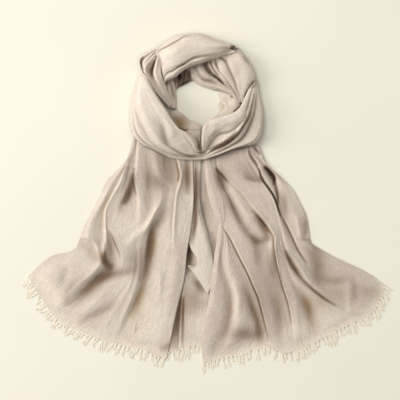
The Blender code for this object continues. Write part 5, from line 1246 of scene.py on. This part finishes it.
def weave_group():
    """Open gauze weave: uneven warp and weft threads with slubs, and the crinkle that they draw into."""
    if "gauze_weave" in bpy.data.node_groups:
        return bpy.data.node_groups["gauze_weave"]
    inputs = {"Cloth": "Vector", "Threads": "Float", "Crinkle": "Float"}
    group, put = node_group("gauze_weave", inputs, {"Height": "Float", "Slub": "Float"})
    cloth = put["Cloth"]
    sway = noise(group, -700, 200, cloth, Scale=BEND_SCALE, Detail=2.0)
    bent = maths(group, "MULTIPLY", -500, 200, sway.outputs["Color"], (THREAD_BEND,) * 3, kind=VECTORS)
    bent = maths(group, "ADD", -350, 200, bent, cloth, kind=VECTORS)
    axes = node(group, "ShaderNodeSeparateXYZ", -200, 200, {0: bent})
    waves = []
    for axis, y in (("X", 300), ("Y", 150)):
        turn = maths(group, "MULTIPLY", 0, y, axes.outputs[axis], put["Threads"])
        waves.append(maths(group, "SINE", 150, y, turn))
    weave = maths(group, "ADD", 300, 250, *waves)
    slubs = []
    for stretch, y in zip(SLUB_STRETCHES, (-100, -300)):
        place = maths(group, "MULTIPLY", -350, y, cloth, stretch, kind=VECTORS)
        slubs.append(noise(group, -200, y, place, Scale=1.0, Detail=1.0).outputs["Fac"])
    slub = maths(group, "ADD", 0, -150, *slubs)
    place = maths(group, "MULTIPLY", -350, -500, cloth, CRINKLE_STRETCH, kind=VECTORS)
    folds = noise(group, -200, -500, place, Scale=1.0, Detail=3.0, Roughness=CRINKLE_ROUGHNESS,
                  Distortion=CRINKLE_ROUGHNESS)
    folds = maths(group, "MULTIPLY", 0, -500, folds.outputs["Fac"], put["Crinkle"])
    fine = maths(group, "MULTIPLY", 450, 200, weave, WEAVE_SHARE)
    rough = maths(group, "MULTIPLY_ADD", 450, 0, slub, SLUB_SHARE, fine)
    height = maths(group, "MULTIPLY_ADD", 600, 100, folds, CRINKLE_SHARE, rough)
    node(group, "NodeGroupOutput", 800, 100, {"Height": height, "Slub": slub})
    return group


def tone_and_shade_group():
    """Tone of undyed gauze: patches of two shades, painted shade in the folds and painted shadow in the
    gaps, lighter where the cloth lies thin and where a highlight is painted.
    """
    if "gauze_tone_and_painted_shade" in bpy.data.node_groups:
        return bpy.data.node_groups["gauze_tone_and_painted_shade"]
    inputs = {"Cloth": "Vector", **dict.fromkeys(("Pale", "Rose", "Deep", "Sheer", "Gap", "Thin"), "Color"),
              **dict.fromkeys(("Hollow", "Thinness", "Slub"), "Float")}
    group, put = node_group("gauze_tone_and_painted_shade", inputs, {"Color": "Color"})
    patches = noise(group, -700, 200, put["Cloth"], Scale=PATCH_SCALE, Detail=3.0)
    patches = ranged(group, -500, 200, patches.outputs["Fac"], *PATCH_LIMITS)
    colour = mixed(group, -300, 200, patches, put["Pale"], put["Rose"])
    # lighter where the cloth is thin, and where a highlight is painted
    thin = maths(group, "MULTIPLY", -300, -100, put["Thinness"], THIN_SHARE)
    colour = mixed(group, -100, 200, thin, colour, put["Thin"])
    # painted shade: deeper for opaque folds, browner where the cloth is thin
    deep = mixed(group, -100, -200, put["Thinness"], put["Deep"], put["Sheer"])
    colour = mixed(group, 100, 200, put["Hollow"], colour, deep)
    # painted shadow in the gaps, where the painted shade goes past one
    gap = maths(group, "SUBTRACT", 100, 0, put["Hollow"], 1.0)
    colour = mixed(group, 200, 200, gap, colour, put["Gap"])
    slub = ranged(group, 100, -100, put["Slub"], *SLUB_LIMITS)
    colour = maths(group, "MULTIPLY", 300, 200, colour, slub, kind=VECTORS)
    node(group, "NodeGroupOutput", 500, 200, {"Color": colour})
    return group


def new_material(name, finish):
    """A material, its node tree and its shader, with what is the same all over set on the shader."""
    material = bpy.data.materials.new(name)
    material.use_nodes = True
    shader = material.node_tree.nodes["Principled BSDF"]
    for key, value in finish.items():
        shader.inputs[key].default_value = value
    return material, material.node_tree, shader


def gauze_material(name, settings, rose_share):
    """Gauze between the pale shade and the rose, with painted shade in its folds; its weave, crinkle and
    tone follow the cloth's UV map.
    """
    material, tree, shader = new_material(name, GAUZE)
    pale, rose = np.array(settings.pale), np.array(settings.rose)
    # Deep, Sheer and Gap are painted shade and painted shadow; Thin also lightens painted highlights
    colours = {key.capitalize(): getattr(settings, key) for key in ("deep", "sheer", "gap", "thin")}
    colours["Pale"] = pale + (rose - pale) * rose_share
    colours["Rose"] = pale + (rose - pale) * min(1.0, rose_share + SHADE_STEP)
    cloth = node(tree, "ShaderNodeUVMap", -900, 0, uv_map="cloth").outputs["UV"]
    # masks of painted shade, and of thinness with painted highlights
    hollow, thin = (
        node(tree, "ShaderNodeAttribute", -900, y, attribute_name=mask).outputs["Fac"]
        for mask, y in (("hollow", -200), ("thin", -400))
    )
    weaving = {"Cloth": cloth, "Threads": 2 * np.pi / settings.thread_pitch, "Crinkle": settings.crinkle}
    weave = node(tree, "ShaderNodeGroup", -650, -200, weaving, node_tree=weave_group())
    toning = {"Cloth": cloth, "Hollow": hollow, "Thinness": thin, "Slub": weave.outputs["Slub"]}
    toning.update({key: (*colour, 1.0) for key, colour in colours.items()})
    tone = node(tree, "ShaderNodeGroup", -350, 100, toning, node_tree=tone_and_shade_group())
    relief = {"Height": weave.outputs["Height"], "Strength": 1.0, "Distance": settings.relief}
    bump = node(tree, "ShaderNodeBump", -350, -300, relief)
    tree.links.new(tone.outputs["Color"], shader.inputs["Base Color"])
    tree.links.new(bump.outputs["Normal"], shader.inputs["Normal"])
    return material


def plain_material(name, colour, finish):
    """Matt finish with a faint unevenness of tone."""
    material, tree, shader = new_material(name, finish)
    spot = node(tree, "ShaderNodeTexCoord", -900, 0)
    cloud = noise(tree, -700, 0, spot.outputs["Object"], Scale=PLAIN_SCALE)
    shade = ranged(tree, -500, 0, cloud.outputs["Fac"], *PLAIN_LIMITS)
    tint = maths(tree, "MULTIPLY", -300, 0, colour, shade, kind=VECTORS)
    tree.links.new(tint, shader.inputs["Base Color"])
    return material


class ScarfCloth(bpy.types.PropertyGroup):
    spacing: FloatProperty(name="Spacing", description="Distance between neighbouring points of the cloth",
                           default=0.0021, unit="LENGTH")
    fine_spacing: FloatProperty(name="Fine spacing", description="The same in the small folds of the wrap",
                                default=0.0012, unit="LENGTH")
    thickness: FloatProperty(name="Thickness", description="Thickness of the gauze", default=0.0008,
                             unit="LENGTH")
    wrinkle: FloatProperty(name="Wrinkles", description="Height of the finest wrinkles", default=0.0004,
                           unit="LENGTH")
    crinkle: FloatProperty(name="Crinkle", description="How strongly the weave is crinkled", default=1.0)
    relief: FloatProperty(name="Relief", description="Depth of the weave and the crinkle", default=0.0004,
                          unit="LENGTH")
    thread_pitch: FloatProperty(name="Thread pitch", description="Distance from thread to thread",
                                default=0.0011, unit="LENGTH")
    pale: FloatVectorProperty(name="Pale", description="Lightest shade of the cloth",
                              default=(0.80, 0.715, 0.615), subtype="COLOR", min=0, max=1)
    rose: FloatVectorProperty(name="Rose", description="Second shade of the cloth",
                              default=(0.66, 0.545, 0.465), subtype="COLOR", min=0, max=1)
    # painted shade deep in the folds
    deep: FloatVectorProperty(name="Deep", description="Shade of the cloth deep in its folds",
                              default=(0.255, 0.18, 0.13), subtype="COLOR", min=0, max=1)
    # painted shade deep in the folds of thin cloth
    sheer: FloatVectorProperty(name="Sheer", description="Shade of a single layer deep in its folds",
                               default=(0.29, 0.175, 0.085), subtype="COLOR", min=0, max=1)
    # painted shadow in the gaps between layers
    gap: FloatVectorProperty(name="Gap", description="Shade of the gaps between two layers",
                             default=(0.035, 0.018, 0.009), subtype="COLOR", min=0, max=1)
    # thin cloth over the floor, also used for painted highlights
    thin: FloatVectorProperty(name="Thin", description="Shade where one layer lies on the table",
                              default=(0.86, 0.765, 0.625), subtype="COLOR", min=0, max=1)


class ScarfFringe(bpy.types.PropertyGroup):
    length: FloatProperty(name="Length", description="Mean length of a tuft", default=0.021, unit="LENGTH")
    width: FloatProperty(name="Width", description="Width of a tuft at the hem", default=0.0072,
                         unit="LENGTH")
    pitch: FloatProperty(name="Pitch", description="Mean distance between tufts", default=0.0072,
                         unit="LENGTH")
    thread: FloatProperty(name="Thread", description="Radius of one thread", default=0.0008, unit="LENGTH")
    strands: IntProperty(name="Strands", description="Threads in a tuft", default=12)
    colour: FloatVectorProperty(name="Colour", description="Colour of the fringe",
                                default=(0.92, 0.85, 0.70), subtype="COLOR", min=0, max=1)


class ScarfStage(bpy.types.PropertyGroup):
    floor: FloatProperty(name="Floor", description="Side of the floor", default=12.0, unit="LENGTH")
    floor_colour: FloatVectorProperty(name="Floor colour", description="Colour of the floor",
                                      default=(0.92, 0.895, 0.77), subtype="COLOR", min=0, max=1)
    view_width: FloatProperty(name="View width", description="Width of the floor in view", default=0.8,
                              unit="LENGTH")
    lens: FloatProperty(name="Lens", description="Focal length in millimetres", default=250.0)
    key: FloatProperty(name="Key light", description="Power of the low light on the left", default=152.0,
                       subtype="POWER")
    key_size: FloatProperty(name="Key size", description="Side of the low light", default=2.6,
                            unit="LENGTH")
    overhead: FloatProperty(name="Overhead light", description="Power of the light from above",
                            default=86.0, subtype="POWER")
    overhead_size: FloatProperty(name="Overhead size", description="Side of the light from above",
                                 default=2.5, unit="LENGTH")
    fill: FloatProperty(name="Fill", description="Strength of the light from all round", default=0.43)


def add_stretch(node_name, settings):
    """Lays one stretch of the table, with its finish, and gives the points along its far end."""
    stretch = STRETCHES[node_name]
    piece, grid = add_sheet(stretch, settings)
    piece.data.materials.append(gauze_material(f"{piece.name}_gauze", settings, stretch.rose))
    declare(piece, node_name)
    return grid[-1]


class ScarfOperator:
    bl_options = {"REGISTER", "UNDO"}


class SCARF_OT_middle(ScarfOperator, bpy.types.Operator):
    """Adds the two layers that show between the tails"""

    bl_idname = "scarf.middle"
    bl_label = "Middle layers"

    def execute(self, context):
        hem = add_stretch("middle_lower", context.scene.scarf_cloth)
        add_stretch("middle_upper", context.scene.scarf_cloth)
        add_fringe("middle", hem, context.scene.scarf_fringe)
        return {"FINISHED"}


class SCARF_OT_tails(ScarfOperator, bpy.types.Operator):
    """Adds the two tails that fan out below the wrap, each with its fringe"""

    bl_idname = "scarf.tails"
    bl_label = "Tails"

    def execute(self, context):
        for side in ("left", "right"):
            hem = add_stretch(f"{side}_tail", context.scene.scarf_cloth)
            add_fringe(side, hem, context.scene.scarf_fringe)
        return {"FINISHED"}


class SCARF_OT_hidden(ScarfOperator, bpy.types.Operator):
    """Adds the hidden layers of the wrap, as the ring that the bands lie on"""

    bl_idname = "scarf.hidden"
    bl_label = "Hidden layers"

    def execute(self, context):
        settings = context.scene.scarf_cloth
        grid = hidden_layers(settings.spacing / MM)
        shape = grid.shape[:2]
        coordinates = np.moveaxis(np.indices(shape)[::-1], 0, -1) * CORE_WEAVE
        # the whole ring gets the same painted shade
        masks = {"hollow": np.full(shape, CORE_PAINTED_SHADE), "thin": np.zeros(shape)}
        below = underside(grid, settings.thickness / MM)
        piece = add_piece(HIDDEN[0], shell_mesh(HIDDEN[0], grid, below, coordinates, masks))
        piece.data.materials.append(gauze_material(f"{piece.name}_gauze", settings, rose_share=0.6))
        declare(piece, "wrap_core")
        return {"FINISHED"}


class SCARF_OT_opening(ScarfOperator, bpy.types.Operator):
    """Adds the stretches inside the wrap: sheer layers, the pocket, the gathers and the shoulder folds"""

    bl_idname = "scarf.opening"
    bl_label = "Round the opening"

    def execute(self, context):
        for name in ("right_wing", "front_wing", "back_gather", "right_gather", "shoulder_folds"):
            add_stretch(name, context.scene.scarf_cloth)
        return {"FINISHED"}


class SCARF_OT_bands(ScarfOperator, bpy.types.Operator):
    """Adds the band over the nape and the broad band round the front"""

    bl_idname = "scarf.bands"
    bl_label = "Bands of the wrap"

    def execute(self, context):
        for name in ("nape_band", "front_wrap"):
            add_stretch(name, context.scene.scarf_cloth)
        return {"FINISHED"}


class SCARF_OT_stage(ScarfOperator, bpy.types.Operator):
    """Adds the floor, the lights and the camera that looks straight down"""

    bl_idname = "scarf.stage"
    bl_label = "Stage"

    def execute(self, context):
        settings = context.scene.scarf_stage
        middle = (Vector(CAD_LOW) + Vector(CAD_HIGH)) / 2
        view = Vector((middle.x + VIEW_OFFSET[0] * MM, middle.y + VIEW_OFFSET[1] * MM, 0))
        bpy.ops.object.select_all(action="DESELECT")
        bpy.ops.mesh.primitive_plane_add(size=settings.floor, location=(0, 0, 0))
        floor = context.object
        floor.name = floor.data.name = "floor"
        for vertex in floor.data.vertices:
            vertex.co.z = FLOOR_HEIGHT
        floor.data.materials.append(plain_material("floor_paper", settings.floor_colour, PAPER))

        data = bpy.data.cameras.new("camera")
        data.lens, data.clip_end = settings.lens, CAMERA_REACH
        camera = add_piece("camera", data)
        camera.location = view + Vector((0, 0, settings.view_width * data.lens / data.sensor_width))
        context.scene.camera = camera

        for name, place, side, power in (
            ("key", KEY_PLACE, settings.key_size, settings.key),
            ("overhead", OVERHEAD_PLACE, settings.overhead_size, settings.overhead),
        ):
            data = bpy.data.lights.new(name, "AREA")
            data.size, data.energy, data.color = side, power, LIGHT_COLOUR
            light = add_piece(name, data)
            light.location = place
            light.rotation_euler = (view - Vector(place)).to_track_quat("-Z", "Y").to_euler()

        world = bpy.data.worlds.new("soft_room")
        world.use_nodes = True
        room = world.node_tree.nodes["Background"].inputs
        room["Color"].default_value = ROOM_COLOUR
        room["Strength"].default_value = settings.fill
        context.scene.world = world
        context.scene.view_settings.view_transform = "Standard"
        return {"FINISHED"}


class SCARF_PT_panel(bpy.types.Panel):
    """Lists the pieces of the scarf in the order they are laid"""

    bl_idname = "SCARF_PT_panel"
    bl_label = "Beach scarf"
    bl_space_type = "VIEW_3D"
    bl_region_type = "UI"
    bl_category = "Scarf"

    def draw(self, context):
        for group in GROUPS:
            settings = getattr(context.scene, group)
            box = self.layout.box()
            for name in settings.bl_rna.properties.keys():
                if name not in ("rna_type", "name"):
                    box.prop(settings, name)
        for operator in OPERATORS:
            self.layout.operator(operator.bl_idname)


GROUPS = {"scarf_cloth": ScarfCloth, "scarf_fringe": ScarfFringe, "scarf_stage": ScarfStage}
OPERATORS = (SCARF_OT_middle, SCARF_OT_tails, SCARF_OT_hidden, SCARF_OT_opening, SCARF_OT_bands,
             SCARF_OT_stage)


def register():
    """Adds the classes and the groups of settings to Blender."""
    for made in (*GROUPS.values(), *OPERATORS, SCARF_PT_panel):
        bpy.utils.register_class(made)
    for name, group in GROUPS.items():
        setattr(bpy.types.Scene, name, PointerProperty(type=group))


def unregister():
    """Takes them away again."""
    for name in GROUPS:
        delattr(bpy.types.Scene, name)
    for made in (SCARF_PT_panel, *reversed(OPERATORS), *reversed(GROUPS.values())):
        bpy.utils.unregister_class(made)


def main():
    """Lays out the scarf and its stage."""
    register()
    bpy.ops.object.select_all(action="DESELECT")
    bpy.ops.scarf.middle()
    bpy.ops.scarf.tails()
    bpy.ops.scarf.hidden()
    bpy.ops.scarf.opening()
    bpy.ops.scarf.bands()
    bpy.ops.scarf.stage()


if __name__ == "__main__":
    main()
